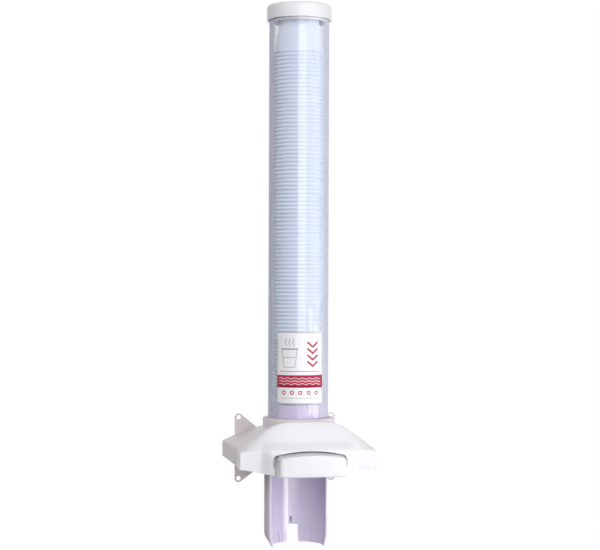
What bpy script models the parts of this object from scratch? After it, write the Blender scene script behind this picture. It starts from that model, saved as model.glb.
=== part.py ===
"""Wall-mounted push-button dispenser for 50 ml coffee cups.

A clear tube holds a nested column of upside-down cups over a moulded base that screws to the wall.
Pressing the button slides a two-level gate under the column: the lower level lets the bottom cup
drop into the open chute while the upper level catches the rim of the next cup.

Metres, +Z up, front is -Y. The origin is on the wall plane, on the centre line, halfway between the
upper and lower screw ears. Lengths below that describe the mechanism are measured from the tube's
axis, which stands AXIS_TO_WALL in front of the wall.
"""

import math

import bmesh
import bpy
from mathutils import Matrix, Vector

MM = 0.001
GAP = 0.3 * MM
ROUND_SIDES = 32
AXIS_TO_WALL = 63.6 * MM

# Magazine: clear tube, cap and the sleeve that centres the column at the bottom.
TUBE_OUTER_R = 28.5 * MM
TUBE_WALL = 1.3 * MM
TUBE_BOTTOM_Z = 26.7 * MM
TUBE_TOP_Z = 421.6 * MM
CAP_OUTER_R = 30.8 * MM
CAP_WALL = 1.95 * MM
CAP_BOTTOM_Z = 408.7 * MM
CAP_TOP_Z = 424.7 * MM
CAP_PLATE = 2.4 * MM
CAP_LIP_Z = 412.2 * MM
CAP_LIP_WALL = 1.6 * MM
CAP_EDGE_RADIUS = 2.2 * MM
SLEEVE_OUTER_R = 26.9 * MM
SLEEVE_WALL = 1.0 * MM
SLEEVE_TOP_Z = 47.7 * MM
SLEEVE_FLANGE_R = 31.5 * MM
SLEEVE_FLANGE = 1.5 * MM

# Cups stand mouth down, each nested over the one below it.
CUP_SIDES = 12
CUP_COUNT = 102
CUP_PITCH = 3.7 * MM
CUP_RIM_R = 25.3 * MM
CUP_RIM_HEIGHT = 2.2 * MM
CUP_RIM_WALL = 0.9 * MM
CUP_MOUTH_R = 23.5 * MM
CUP_SHOULDER_R = 17.2 * MM
CUP_BASE_R = 16.6 * MM
CUP_HEIGHT = 41.0 * MM
CUP_WALL = 0.32 * MM
CUP_BASE_WALL = 0.5 * MM
FIRST_RIM_Z = 5.0 * MM

# Rear housing: back plate with four screw ears, sloping roof, side walls and tube collar.
WALL = 2.0 * MM
HOUSING_HALF_WIDTH = 62.7 * MM
HOUSING_FRONT_Y = -38.2 * MM
HOUSING_SIDE_TOP_Z = 7.5 * MM
HOUSING_BOTTOM_BACK_Z = -7.3 * MM
HOUSING_BOTTOM_FRONT_Z = -8.7 * MM
ROOF_STEP = 0.5 * MM
ROOF_CREASE_X_FRONT = 55.4 * MM
ROOF_CREASE_X_BACK = 50.4 * MM
ROOF_CREASE_Z_BACK = 12.9 * MM
ROOF_SHOULDER_X = 36.0 * MM
ROOF_SHOULDER_Z_BACK = 18.2 * MM
ROOF_MID_X = 30.0 * MM
ROOF_RIDGE_X = 24.0 * MM
ROOF_RIDGE_Z_BACK = 21.6 * MM
ROOF_CENTRE_Z_BACK = 22.6 * MM
ROOF_INNER_SHIFT = 0.7 * MM
SIDE_INNER_DROP = 1.4 * MM
EAR_HOLE_X = 46.6 * MM
EAR_HOLE_Z = 30.0 * MM
EAR_HOLE_R = 2.2 * MM
EAR_TIP_R = 3.8 * MM
EAR_FOOT_X = 28.0 * MM
EAR_KEEL_X = 10.5 * MM
EAR_KEEL_Z = -8.3 * MM
COLLAR_OUTER_R = 33.45 * MM
COLLAR_TOP_Z = 34.7 * MM
COLLAR_BOTTOM_Z = 13.8 * MM
POST_R = 3.5 * MM
POST_SIDES = 12
POST_PILOT_DEPTH = 8.0 * MM
POST_X = 45.0 * MM
POST_YS = (-22.0 * MM, 38.0 * MM)
COVER_TAB_X = 46.0 * MM
COVER_TAB_HALF_HEIGHT = 5.0 * MM

# Front cover: arched face, low wings and the hood round the button.
COVER_HALF_WIDTH = 64.6 * MM
COVER_CORNER_Y = -50.4 * MM
COVER_TOP_Y = -42.5 * MM
COVER_BACK_Y = -38.5 * MM
COVER_WING_Z = 7.2 * MM
COVER_BOTTOM_Z = -8.9 * MM
COVER_HOOD_BOTTOM_Z = -13.4 * MM
COVER_BOW = 3.6 * MM
HOOD_BULGE = 4.0 * MM
HOOD_INNER_X = 34.5 * MM
HOOD_OUTER_X = 45.5 * MM
HOOD_TOP_Z = 17.0 * MM
ARCH_TOP_Z = 33.7 * MM
ARCH_SHOULDER_X = 42.0 * MM
ARCH_FLAT_X = 16.0 * MM
ARCH_EDGE_R = 1.8 * MM
COVER_SCREW_X = 52.0 * MM
COVER_SCREW_Z = -1.0 * MM
COVER_BOSS = 11.3 * MM
COVER_STATIONS = (64.6, 62.4, 58, 52, 46, 42, 39, 36, 33, 28, 24, 18, 9, 0)
COVER_FACE_SHARES = (0.0, 0.16, 0.34, 0.52, 0.7, 0.86)
HOOD_MOUTH_HALF_WIDTH = 34.0 * MM
HOOD_MOUTH_TOP_Z = 7.4 * MM
HOOD_MOUTH_SAG = 3.2 * MM
HOOD_MOUTH_CORNER = 6.0 * MM
HOOD_LIP_X = 31.9 * MM
HOOD_LIP_ZS = (-9.0 * MM, -6.4 * MM, -3.6 * MM)
HOOD_CUT_BOTTOM_Z = -30.0 * MM
HOOD_CUT_YS = (-80.0 * MM, -48.0 * MM)

# Push button and the gate that it carries.
PRESS_TRAVEL = 15.0 * MM
BUTTON_HALF_WIDTH = 30.8 * MM
BUTTON_FRONT_Y = -75.0 * MM
BUTTON_BACK_Y = -46.6 * MM
BUTTON_BOW = 3.2 * MM
BUTTON_TOP_Z = 5.9 * MM
BUTTON_SAG = 3.0 * MM
BUTTON_CORNER = 3.2 * MM
BUTTON_BOTTOM_Z = -14.4 * MM
BUTTON_WALL = 1.8 * MM
BUTTON_EDGE_R = 1.2 * MM
BUTTON_SLOPE_Y = -57.0 * MM
BUTTON_SLOPE = 1.6 * MM
BUTTON_STATIONS = (1.0, 0.97, 0.91, 0.72, 0.49, 0.25, 0.0)
BUTTON_BOSS_R = 3.0 * MM
BUTTON_PILOT_DEPTH = 13.0 * MM
BUTTON_SCREW_X = 18.0 * MM
BUTTON_SCREW_Z = -4.0 * MM
GATE_HALF_WIDTH = 31.0 * MM
GATE_FRONT_Y = -44.3 * MM
GATE_BACK_Y = 30.0 * MM
GATE_BOTTOM_Z = 3.5 * MM
GATE_LOWER = 1.2 * MM
GATE_UPPER = 0.9 * MM
GATE_UPPER_BOTTOM_Z = 7.5 * MM
GATE_PASS_R = 26.1 * MM
GATE_HOLD_R = 24.2 * MM
GATE_SLOT_X = 28.5 * MM
GATE_SLOT_YS = (-41.5 * MM, 27.5 * MM)
GATE_FLANGE_X = 27.0 * MM
GATE_FLANGE_BOTTOM_Z = -10.0 * MM
LUG_X = 37.5 * MM
LUG_YS = (4.5 * MM, 7.7 * MM)

# Gate frame: fixed tray with rails, spring channels and a rear stop wall.
FRAME_FLOOR_Z = 1.2 * MM
FRAME_FLOOR = 2.0 * MM
FRAME_HALF_WIDTH = 40.0 * MM
FRAME_TAB_X = 50.0 * MM
FRAME_TAB_HALF = 5.0 * MM
FRAME_FRONT_Y = -28.5 * MM
FRAME_BACK_Y = 50.0 * MM
FRAME_HOLE_R = 26.5 * MM
CHUTE_BOSS = 6.0 * MM
CHUTE_PILOT_DEPTH = 6.6 * MM
RAIL_INNER_X = 31.4 * MM
RAIL_LIP_X = 29.2 * MM
RAIL_OUTER_X = 33.4 * MM
RAIL_BACK_Y = 4.2 * MM
RAIL_TOP_Z = 11.7 * MM
CHANNEL_INNER_X = 38.2 * MM
CHANNEL_FRONT_Y = -2.0 * MM
CHANNEL_TOP_Z = 9.0 * MM
SPRING_X = 35.2 * MM
SPRING_Z = 6.2 * MM
SPRING_COIL_R = 2.15 * MM
SPRING_WIRE_R = 0.4 * MM
SPRING_TURNS = 7
SPRING_POINTS_PER_TURN = 8
ROD_R = 1.1 * MM
ROD_FRONT_Y = 25.0 * MM
ROD_HEAD_R = 2.2 * MM
ROD_HEAD = 1.2 * MM

# Chute: open half tube that the cup lands in, with side fins and a springy tapered end.
CHUTE_INNER_R = 25.95 * MM
CHUTE_WALL = 1.9 * MM
CHUTE_FRONT_Y = -4.7 * MM
CHUTE_BOTTOM_Z = -87.3 * MM
CHUTE_TAPER_Z = -75.3 * MM
CHUTE_TAPER = 2.2 * MM
CHUTE_ARC_STEPS = 16
FIN_WALL = 1.7 * MM
FIN_BACK_Y = 24.7 * MM
FIN_BOTTOM_FRONT_Z = -77.0 * MM
FIN_BOTTOM_BACK_Z = -66.0 * MM
BACK_SLOT_HALF_WIDTH = 5.7 * MM
BACK_SLOT_TOP_Z = -69.6 * MM
BACK_NOTCH_TOP_Z = -62.3 * MM
BACK_NOTCH_WIDTH = 1.8 * MM
TAPER_SLIT_ANGLE = 56.0
TAPER_SLIT_HALF_WIDTH = 0.5 * MM
TAPER_SLIT_TOP_Z = -78.0 * MM
CHUTE_SCREW_X = 44.0 * MM
CHUTE_SCREW_Y = 8.0 * MM
CHUTE_FLANGE = 2.0 * MM
CHUTE_FLANGE_X = 48.0 * MM
CHUTE_FLANGE_NECK_X = 30.0 * MM
CHUTE_FLANGE_BACK_Y = 33.0 * MM

# Self-tapping screws.
SCREW_SIDES = 10
SCREW_HEAD_R = 2.7 * MM
SCREW_HEAD = 1.7 * MM
SCREW_SHANK_R = 1.2 * MM
PILOT_R = 1.55 * MM
PASS_R = 1.8 * MM


def clear_scene():
    for obj in list(bpy.data.objects):
        bpy.data.objects.remove(obj, do_unlink=True)


def plastic(name, colour, roughness=0.35, metallic=0.0, alpha=1.0):
    """A Principled material with one colour, roughness and metallic value."""
    made = bpy.data.materials.new(name)
    made.use_nodes = True
    shader = made.node_tree.nodes["Principled BSDF"]
    shader.inputs["Base Color"].default_value = (*colour, 1.0)
    shader.inputs["Roughness"].default_value = roughness
    shader.inputs["Metallic"].default_value = metallic
    shader.inputs["Alpha"].default_value = alpha
    made.diffuse_color = (*colour, alpha)
    return made


def add(name, bm, colour=None, parent=None, smooth_degrees=35.0, **finish):
    """Turns a bmesh, built round the tube's axis, into an object that stands at that axis."""
    bmesh.ops.remove_doubles(bm, verts=bm.verts, dist=0.002 * MM)
    bmesh.ops.recalc_face_normals(bm, faces=bm.faces)
    mesh = bpy.data.meshes.new(name)
    bm.to_mesh(mesh)
    bm.free()
    mesh.shade_smooth()
    mesh.set_sharp_from_angle(angle=math.radians(smooth_degrees))
    obj = bpy.data.objects.new(name, mesh)
    bpy.context.collection.objects.link(obj)
    obj.location = (0.0, -AXIS_TO_WALL, 0.0)
    if parent:
        obj.location = -parent.location + Vector((0.0, -AXIS_TO_WALL, 0.0))
        obj.parent = parent
    if colour:
        mesh.materials.append(plastic(name, colour, **finish))
    return obj


def helper(name, bm):
    """A cutter or a part of a union: it guides a Boolean and isn't rendered."""
    obj = add(name, bm)
    obj.hide_render = True
    obj.display_type = "WIRE"
    return obj


def combine(target, tool, operation):
    """Adds an exact Boolean that joins the tool to the target or cuts it away."""
    tool.parent = target.parent
    tool.location = target.location
    step = target.modifiers.new(tool.name, "BOOLEAN")
    step.operation = operation
    step.solver = "EXACT"
    step.object = tool


def join(target, name, bm):
    combine(target, helper(name, bm), "UNION")


def cut(target, name, bm):
    combine(target, helper(name, bm), "DIFFERENCE")


def mirrored(points):
    """The points, then the same points mirrored in X in reverse order, without repeating any on X = 0."""
    other = [(-x, *rest) for x, *rest in reversed(points) if abs(x) > 1e-9]
    return list(points) + other


def arc(centre, radius, start, end, steps):
    """Points on a circle from one angle to another, in degrees."""
    found = []
    for i in range(steps + 1):
        angle = math.radians(start + (end - start) * i / steps)
        found.append((centre[0] + radius * math.cos(angle), centre[1] + radius * math.sin(angle)))
    return found


def loft(sections):
    """A closed solid through closed sections that have the same number of points, capped at both ends."""
    bm = bmesh.new()
    loops = [[bm.verts.new(point) for point in section] for section in sections]
    for lower, upper in zip(loops, loops[1:]):
        for i in range(len(lower)):
            j = (i + 1) % len(lower)
            bm.faces.new((lower[i], lower[j], upper[j], upper[i]))
    bm.faces.new(loops[0])
    bm.faces.new(loops[-1])
    return bm


def plate(outline, z0, z1):
    """A flat plate: an outline in XY between two heights."""
    return loft([[(x, y, z) for x, y in outline] for z in (z0, z1)])


def rail(outline, y0, y1):
    """A bar along Y: an outline in XZ between two depths."""
    return loft([[(x, y, z) for x, z in outline] for y in (y0, y1)])


def box(x0, x1, y0, y1, z0, z1):
    return plate([(x0, y0), (x1, y0), (x1, y1), (x0, y1)], z0, z1)


def turned(profile, sides=ROUND_SIDES):
    """A solid of revolution about Z from a closed profile of (radius, height) points."""
    bm = bmesh.new()
    verts = [bm.verts.new((r, 0.0, z)) for r, z in profile]
    edges = []
    for a, b in zip(verts, verts[1:] + verts[:1]):
        if a.co.x > 1e-9 or b.co.x > 1e-9:
            edges.append(bm.edges.new((a, b)))
    bmesh.ops.spin(
        bm,
        geom=verts + edges,
        axis=(0.0, 0.0, 1.0),
        cent=(0.0, 0.0, 0.0),
        angle=math.tau,
        steps=sides,
        use_merge=True,
    )
    bmesh.ops.remove_doubles(bm, verts=bm.verts, dist=0.001 * MM)
    return bm


def cylinder(radius, length, at, axis="Z", sides=SCREW_SIDES):
    """A cylinder that starts at a point and runs along +X, +Y or +Z."""
    bm = turned([(0.0, 0.0), (radius, 0.0), (radius, length), (0.0, length)], sides)
    stand(bm, at, axis)
    return bm


def stand(bm, at, axis="Z", flip=False):
    """Turns a solid that runs along +Z to another axis, and moves it to a point."""
    if flip:
        bmesh.ops.rotate(bm, verts=bm.verts, matrix=Matrix.Rotation(math.pi, 3, "X"))
    if axis == "Y":
        bmesh.ops.rotate(bm, verts=bm.verts, matrix=Matrix.Rotation(-math.pi / 2, 3, "X"))
    if axis == "X":
        bmesh.ops.rotate(bm, verts=bm.verts, matrix=Matrix.Rotation(math.pi / 2, 3, "Y"))
    bmesh.ops.translate(bm, verts=bm.verts, vec=at)


def smooth_step(value, low, high):
    """0 below low, 1 above high and an S curve between them."""
    share = min(1.0, max(0.0, (value - low) / (high - low)))
    return share * share * (3.0 - 2.0 * share)


def arch_z(x):
    """Height of the cover's top edge: straight flanks, rounded shoulders and a flat crown."""
    x = abs(x)
    drop = ARCH_SHOULDER_X - ARCH_FLAT_X
    slope = (ARCH_TOP_Z - COVER_WING_Z) / (COVER_HALF_WIDTH - ARCH_SHOULDER_X + drop / 2)
    if x <= ARCH_FLAT_X:
        return ARCH_TOP_Z
    if x <= ARCH_SHOULDER_X:
        return ARCH_TOP_Z - slope * (x - ARCH_FLAT_X) ** 2 / (2 * drop)
    return COVER_WING_Z + slope * (COVER_HALF_WIDTH - x)


def roof_line(share):
    """The roof's outer half outline, right to centre, from the cover (share 0) to the wall (share 1)."""
    front_xs = [HOUSING_HALF_WIDTH, ROOF_CREASE_X_FRONT, ROOF_SHOULDER_X, ROOF_MID_X, ROOF_RIDGE_X, 0.0]
    back = [
        (HOUSING_HALF_WIDTH, HOUSING_SIDE_TOP_Z),
        (ROOF_CREASE_X_BACK, ROOF_CREASE_Z_BACK),
        (ROOF_SHOULDER_X, ROOF_SHOULDER_Z_BACK),
        (ROOF_MID_X, (ROOF_SHOULDER_Z_BACK + ROOF_RIDGE_Z_BACK) / 2),
        (ROOF_RIDGE_X, ROOF_RIDGE_Z_BACK),
        (0.0, ROOF_CENTRE_Z_BACK),
    ]
    points = []
    for front_x, (back_x, back_z) in zip(front_xs, back):
        front_z = arch_z(front_x) - ROOF_STEP
        points.append((front_x + (back_x - front_x) * share, front_z + (back_z - front_z) * share))
    return points


def roof_z(x, y):
    """Outer height of the roof over a point."""
    line = roof_line((y - HOUSING_FRONT_Y) / (AXIS_TO_WALL - HOUSING_FRONT_Y))
    for (x1, z1), (x0, z0) in zip(line, line[1:]):
        if x0 <= abs(x) <= x1:
            return z0 + (z1 - z0) * (abs(x) - x0) / (x1 - x0)
    return line[0][1]


def roof_post(x, y, low):
    """A round post from a height up into the roof, its top slanted to stay inside the roof's wall."""
    rings = ([], [])
    for i in range(POST_SIDES):
        angle = math.tau * i / POST_SIDES
        at = (x + POST_R * math.cos(angle), y + POST_R * math.sin(angle))
        rings[0].append((*at, low))
        rings[1].append((*at, roof_z(*at) - WALL / 2))
    return loft(rings)


def housing_section(y, share):
    """One upside-down U of the rear housing: its outer line out and its inner line back."""
    bottom = HOUSING_BOTTOM_FRONT_Z + (HOUSING_BOTTOM_BACK_Z - HOUSING_BOTTOM_FRONT_Z) * share
    line = roof_line(share)
    outer = mirrored([(HOUSING_HALF_WIDTH, bottom)] + line)
    side = HOUSING_HALF_WIDTH - WALL
    inset = [(side, bottom), (side, line[0][1] - SIDE_INNER_DROP)]
    inset += [(max(0.0, x - ROOF_INNER_SHIFT), z - WALL) for x, z in line[1:]]
    inner = mirrored(inset)
    return [(x, y, z) for x, z in outer + inner[::-1]]


def back_plate_outline():
    """The plate on the wall: a low trapezium with an ear above and below at each side."""
    right = [(x, roof_z(x, AXIS_TO_WALL) - WALL / 2) for x in (0.0, ROOF_RIDGE_X, EAR_FOOT_X)]
    right += arc((EAR_HOLE_X, EAR_HOLE_Z), EAR_TIP_R, 132, 0, 6)
    right += [
        (ROOF_CREASE_X_BACK, ROOF_CREASE_Z_BACK - WALL / 2),
        (HOUSING_HALF_WIDTH - WALL / 2, HOUSING_SIDE_TOP_Z - WALL / 2),
        (HOUSING_HALF_WIDTH - WALL / 2, HOUSING_BOTTOM_BACK_Z),
        (ROOF_CREASE_X_BACK, HOUSING_BOTTOM_BACK_Z),
    ]
    right += arc((EAR_HOLE_X, -EAR_HOLE_Z), EAR_TIP_R, 0, -142, 6)
    right += [(EAR_KEEL_X, EAR_KEEL_Z), (0.0, EAR_KEEL_Z)]
    return mirrored(right)


def make_rear_housing():
    sections = []
    for share in (0.0, 0.25, 0.5, 0.75, 1.0):
        y = HOUSING_FRONT_Y + (AXIS_TO_WALL - WALL / 2 - HOUSING_FRONT_Y) * share
        sections.append(housing_section(y, share))
    housing = add("rear_housing", loft(sections), (0.86, 0.85, 0.87))
    join(housing, "back_plate", rail(back_plate_outline(), AXIS_TO_WALL - WALL, AXIS_TO_WALL))
    collar = [(0.0, COLLAR_BOTTOM_Z), (COLLAR_OUTER_R, COLLAR_BOTTOM_Z)]
    collar += [(COLLAR_OUTER_R, COLLAR_TOP_Z), (0.0, COLLAR_TOP_Z)]
    join(housing, "collar_wall", turned(collar))
    for side in (-1, 1):
        for y in POST_YS:
            low = FRAME_FLOOR_Z + FRAME_FLOOR + GAP
            join(housing, "frame_post", roof_post(side * POST_X, y, low))
            cut(housing, "post_pilot", cylinder(PILOT_R, POST_PILOT_DEPTH + MM, (side * POST_X, y, low - MM)))
        xs = sorted((side * COVER_TAB_X, side * (HOUSING_HALF_WIDTH - WALL / 2)))
        ys = (HOUSING_FRONT_Y + 0.05 * MM, HOUSING_FRONT_Y + WALL)
        zs = (COVER_SCREW_Z - COVER_TAB_HALF_HEIGHT, COVER_SCREW_Z + COVER_TAB_HALF_HEIGHT)
        join(housing, "cover_tab", box(*xs, *ys, *zs))
        hole = (side * COVER_SCREW_X, HOUSING_FRONT_Y - MM, COVER_SCREW_Z)
        cut(housing, "cover_screw_hole", cylinder(PASS_R, 5 * MM, hole, "Y"))
        for z in (-EAR_HOLE_Z, EAR_HOLE_Z):
            at = (side * EAR_HOLE_X, AXIS_TO_WALL - 5 * MM, z)
            cut(housing, "ear_hole", cylinder(EAR_HOLE_R, 10 * MM, at, "Y", sides=16))
    bore = [
        (0.0, COLLAR_BOTTOM_Z - MM),
        (SLEEVE_OUTER_R + GAP, COLLAR_BOTTOM_Z - MM),
        (SLEEVE_OUTER_R + GAP, TUBE_BOTTOM_Z - GAP),
        (TUBE_OUTER_R + GAP, TUBE_BOTTOM_Z - GAP),
        (TUBE_OUTER_R + GAP, COLLAR_TOP_Z + MM),
        (0.0, COLLAR_TOP_Z + MM),
    ]
    cut(housing, "collar_bore", turned(bore))


def cover_band_y(x):
    """Depth of the cover's lower band: bowed across, with the hood standing forward in the middle."""
    share = x / COVER_HALF_WIDTH
    return COVER_CORNER_Y - COVER_BOW * (1.0 - share * share)


def cover_bottom_z(x):
    return COVER_BOTTOM_Z + (COVER_HOOD_BOTTOM_Z - COVER_BOTTOM_Z) * (
        1.0 - smooth_step(abs(x), HOOD_INNER_X, COVER_HALF_WIDTH)
    )


def cover_face(x, z):
    """A point on the cover's face."""
    top = arch_z(x)
    span = max(top - COVER_WING_Z, 1e-6)
    down = min(1.0, max(0.0, (top - z) / span))
    lean = down * (1.3 - 0.3 * down)
    if abs(x) > COVER_HALF_WIDTH - 1e-6:
        lean = 1.0
    y = COVER_TOP_Y + (cover_band_y(x) - COVER_TOP_Y) * lean
    across = 1.0 - smooth_step(abs(x), HOOD_INNER_X, HOOD_OUTER_X)
    up = 1.0 - smooth_step(z, HOOD_MOUTH_TOP_Z, HOOD_TOP_Z)
    return (x, y - HOOD_BULGE * across * up, z)


def cover_column(x):
    """The cover's surface at one X, from its top flange down the face to its bottom edge."""
    top = arch_z(x)
    bottom = cover_bottom_z(x)
    column = [(x, COVER_BACK_Y, top), (x, COVER_TOP_Y + ARCH_EDGE_R, top)]
    edge_z = top - ARCH_EDGE_R * min(1.0, (top - COVER_WING_Z) / (6 * MM))
    span = edge_z - COVER_WING_Z
    if span < 0.1 * MM:
        column += [(x, COVER_CORNER_Y + 1.2 * MM, top), (x, COVER_CORNER_Y, top - MM)]
    else:
        column += [cover_face(x, edge_z - span * share) for share in COVER_FACE_SHARES]
        column.append(cover_face(x, COVER_WING_Z - MM))
    column.append(cover_face(x, bottom))
    return column


def moulded_shell(columns, left_end, right_end):
    """An open skin over columns of points, closed by one flat face at each end, ready to be thickened."""
    bm = bmesh.new()
    grid = [[bm.verts.new(point) for point in column] for column in columns]
    for left, right in zip(grid, grid[1:]):
        if len(left) == len(right):
            for i in range(len(left) - 1):
                bm.faces.new((left[i], left[i + 1], right[i + 1], right[i]))
    for column, extra in ((grid[0], left_end), (grid[-1], right_end)):
        bm.faces.new(column + [bm.verts.new(point) for point in extra])
    return bm


def thicken(obj, thickness):
    step = obj.modifiers.new("wall", "SOLIDIFY")
    step.thickness = thickness
    step.offset = -1.0
    step.use_even_offset = True


def mouth_outline():
    """The hood's mouth in XZ: a lip near the bottom of each side, rounded corners and an arched top."""
    corner = HOOD_MOUTH_CORNER
    inner_x = HOOD_MOUTH_HALF_WIDTH - corner
    low, middle, high = HOOD_LIP_ZS
    right = [
        (HOOD_LIP_X, HOOD_CUT_BOTTOM_Z),
        (HOOD_LIP_X, low),
        ((HOOD_LIP_X + HOOD_MOUTH_HALF_WIDTH) / 2, middle),
        (HOOD_MOUTH_HALF_WIDTH, high),
    ]
    shoulder = HOOD_MOUTH_TOP_Z - HOOD_MOUTH_SAG - corner
    right += arc((inner_x, shoulder), corner, 0, 80, 5)
    for share in (0.66, 0.33, 0.0):
        x = inner_x * share
        right.append((x, HOOD_MOUTH_TOP_Z - HOOD_MOUTH_SAG * share * share))
    return mirrored(right)


def make_front_cover():
    half = [x * MM for x in COVER_STATIONS]
    xs = half + [-x for x in half[-2::-1]]
    columns = []
    for x in xs:
        column = cover_column(x)
        if len(column) == 5:
            top = Vector(column[3])
            bottom = Vector(column[4])
            steps = len(COVER_FACE_SHARES)
            column = column[:3] + [top.lerp(bottom, i / steps) for i in range(steps + 1)]
        columns.append(column)
    ends = []
    for x in (xs[0], xs[-1]):
        ends.append([(x, COVER_BACK_Y, cover_bottom_z(x))])
    cover = add("front_cover", moulded_shell(columns, *ends), (0.9, 0.9, 0.92), smooth_degrees=28.0)
    thicken(cover, WALL)
    cut(cover, "hood_mouth", rail(mouth_outline(), *HOOD_CUT_YS))
    for side in (-1, 1):
        root = (side * COVER_SCREW_X, COVER_BACK_Y - COVER_BOSS, COVER_SCREW_Z)
        join(cover, "screw_boss", cylinder(POST_R, COVER_BOSS, root, "Y", 12))
        pilot = (side * COVER_SCREW_X, COVER_BACK_Y - 7 * MM, COVER_SCREW_Z)
        cut(cover, "boss_pilot", cylinder(PILOT_R, 9 * MM, pilot, "Y"))


def button_body(inset, back_y):
    """The button's block, or with an inset its hollow: arched, sloping top, bowed front and soft corners."""
    half = [BUTTON_HALF_WIDTH * share for share in BUTTON_STATIONS]
    columns = []
    for x in half + [-x for x in half[-2::-1]]:
        share = abs(x) / BUTTON_HALF_WIDTH
        corner = max(0.0, abs(x) - (BUTTON_HALF_WIDTH - BUTTON_CORNER))
        rounding = BUTTON_CORNER - math.sqrt(max(0.0, BUTTON_CORNER**2 - corner**2))
        top = BUTTON_TOP_Z - BUTTON_SAG * share * share - rounding * 0.8 - inset
        front = BUTTON_FRONT_Y + BUTTON_BOW * share * share + rounding * 0.35 + inset
        bottom = BUTTON_BOTTOM_Z + inset
        lip = top - BUTTON_SLOPE
        x *= (BUTTON_HALF_WIDTH - inset) / BUTTON_HALF_WIDTH
        columns.append(
            [
                (x, back_y, top),
                (x, BUTTON_SLOPE_Y, top),
                (x, front + 2 * BUTTON_EDGE_R, lip),
                (x, front + 0.4 * BUTTON_EDGE_R, lip - 0.5 * BUTTON_EDGE_R),
                (x, front, lip - 1.6 * BUTTON_EDGE_R),
                (x, front, bottom + BUTTON_EDGE_R),
                (x, front + BUTTON_EDGE_R, bottom),
                (x, back_y, bottom),
            ]
        )
    return loft(columns)


def make_push_button(slider):
    button = add("push_button", button_body(0.0, BUTTON_BACK_Y), (0.92, 0.92, 0.95), slider, roughness=0.3)
    cut(button, "button_hollow", button_body(BUTTON_WALL, BUTTON_BACK_Y + 5 * MM))
    for side in (-1, 1):
        start = BUTTON_FRONT_Y + 1.4 * MM
        at = (side * BUTTON_SCREW_X, start, BUTTON_SCREW_Z)
        join(button, "button_boss", cylinder(BUTTON_BOSS_R, BUTTON_BACK_Y - start, at, "Y", 12))
        pilot = (side * BUTTON_SCREW_X, BUTTON_BACK_Y - BUTTON_PILOT_DEPTH, BUTTON_SCREW_Z)
        cut(button, "button_pilot", cylinder(PILOT_R, BUTTON_PILOT_DEPTH + 2 * MM, pilot, "Y"))


def gate_opening(hold_y, pass_y):
    """Where a cup rim can drop and where it is held: two circles joined by a straight-sided slot.

    The smaller circle leaves a ledge under the rim, and the larger one lets the rim through.
    """
    meet = math.sqrt(GATE_PASS_R**2 - GATE_HOLD_R**2)
    bend = math.degrees(math.atan2(meet, GATE_HOLD_R))
    if hold_y > pass_y:
        wide = arc((0.0, pass_y), GATE_PASS_R, bend, -180 - bend, 28)
        narrow = arc((0.0, hold_y), GATE_HOLD_R, 180, 0, 20)
    else:
        wide = arc((0.0, pass_y), GATE_PASS_R, 180 + bend, -bend, 28)
        narrow = arc((0.0, hold_y), GATE_HOLD_R, 0, -180, 20)
    return wide + narrow


def make_shuttle_gate(slider):
    top = GATE_UPPER_BOTTOM_Z + GATE_UPPER
    blank = box(-GATE_HALF_WIDTH, GATE_HALF_WIDTH, GATE_FRONT_Y, GATE_BACK_Y, GATE_BOTTOM_Z, top)
    gate = add("shuttle_gate", blank, (0.82, 0.84, 0.88), parent=slider, roughness=0.4)
    flange = box(
        -GATE_FLANGE_X,
        GATE_FLANGE_X,
        GATE_FRONT_Y - 2 * MM,
        GATE_FRONT_Y + 0.4 * MM,
        GATE_FLANGE_BOTTOM_Z,
        top - 0.2 * MM,
    )
    join(gate, "button_flange", flange)
    for side in (-1, 1):
        xs = sorted((side * (GATE_HALF_WIDTH - MM), side * LUG_X))
        join(gate, "spring_lug", box(*xs, *LUG_YS, GATE_BOTTOM_Z + 0.1 * MM, top - 0.1 * MM))
        hole = (side * BUTTON_SCREW_X, GATE_FRONT_Y - 4 * MM, BUTTON_SCREW_Z)
        cut(gate, "flange_hole", cylinder(PASS_R, 8 * MM, hole, "Y"))
    lower_top = GATE_BOTTOM_Z + GATE_LOWER
    lower = plate(gate_opening(0.0, -PRESS_TRAVEL), GATE_BOTTOM_Z - MM, lower_top + 0.3 * MM)
    cut(gate, "lower_opening", lower)
    slot = [
        (-GATE_SLOT_X, GATE_SLOT_YS[0]),
        (GATE_SLOT_X, GATE_SLOT_YS[0]),
        (GATE_SLOT_X, GATE_SLOT_YS[1]),
        (-GATE_SLOT_X, GATE_SLOT_YS[1]),
    ]
    cut(gate, "rim_slot", plate(slot, lower_top, GATE_UPPER_BOTTOM_Z))
    upper = plate(gate_opening(-PRESS_TRAVEL, 0.0), GATE_UPPER_BOTTOM_Z - 0.3 * MM, top + MM)
    cut(gate, "upper_opening", upper)


def frame_outline():
    """The tray's floor: a rectangle with three pairs of screw tabs."""
    right = [(FRAME_HALF_WIDTH, FRAME_FRONT_Y)]
    for y in (POST_YS[0], CHUTE_SCREW_Y, POST_YS[1]):
        right += [
            (FRAME_HALF_WIDTH, y - FRAME_TAB_HALF),
            (FRAME_TAB_X, y - FRAME_TAB_HALF),
            (FRAME_TAB_X, y + FRAME_TAB_HALF),
            (FRAME_HALF_WIDTH, y + FRAME_TAB_HALF),
        ]
    right.append((FRAME_HALF_WIDTH, FRAME_BACK_Y))
    return mirrored(right)


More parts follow.
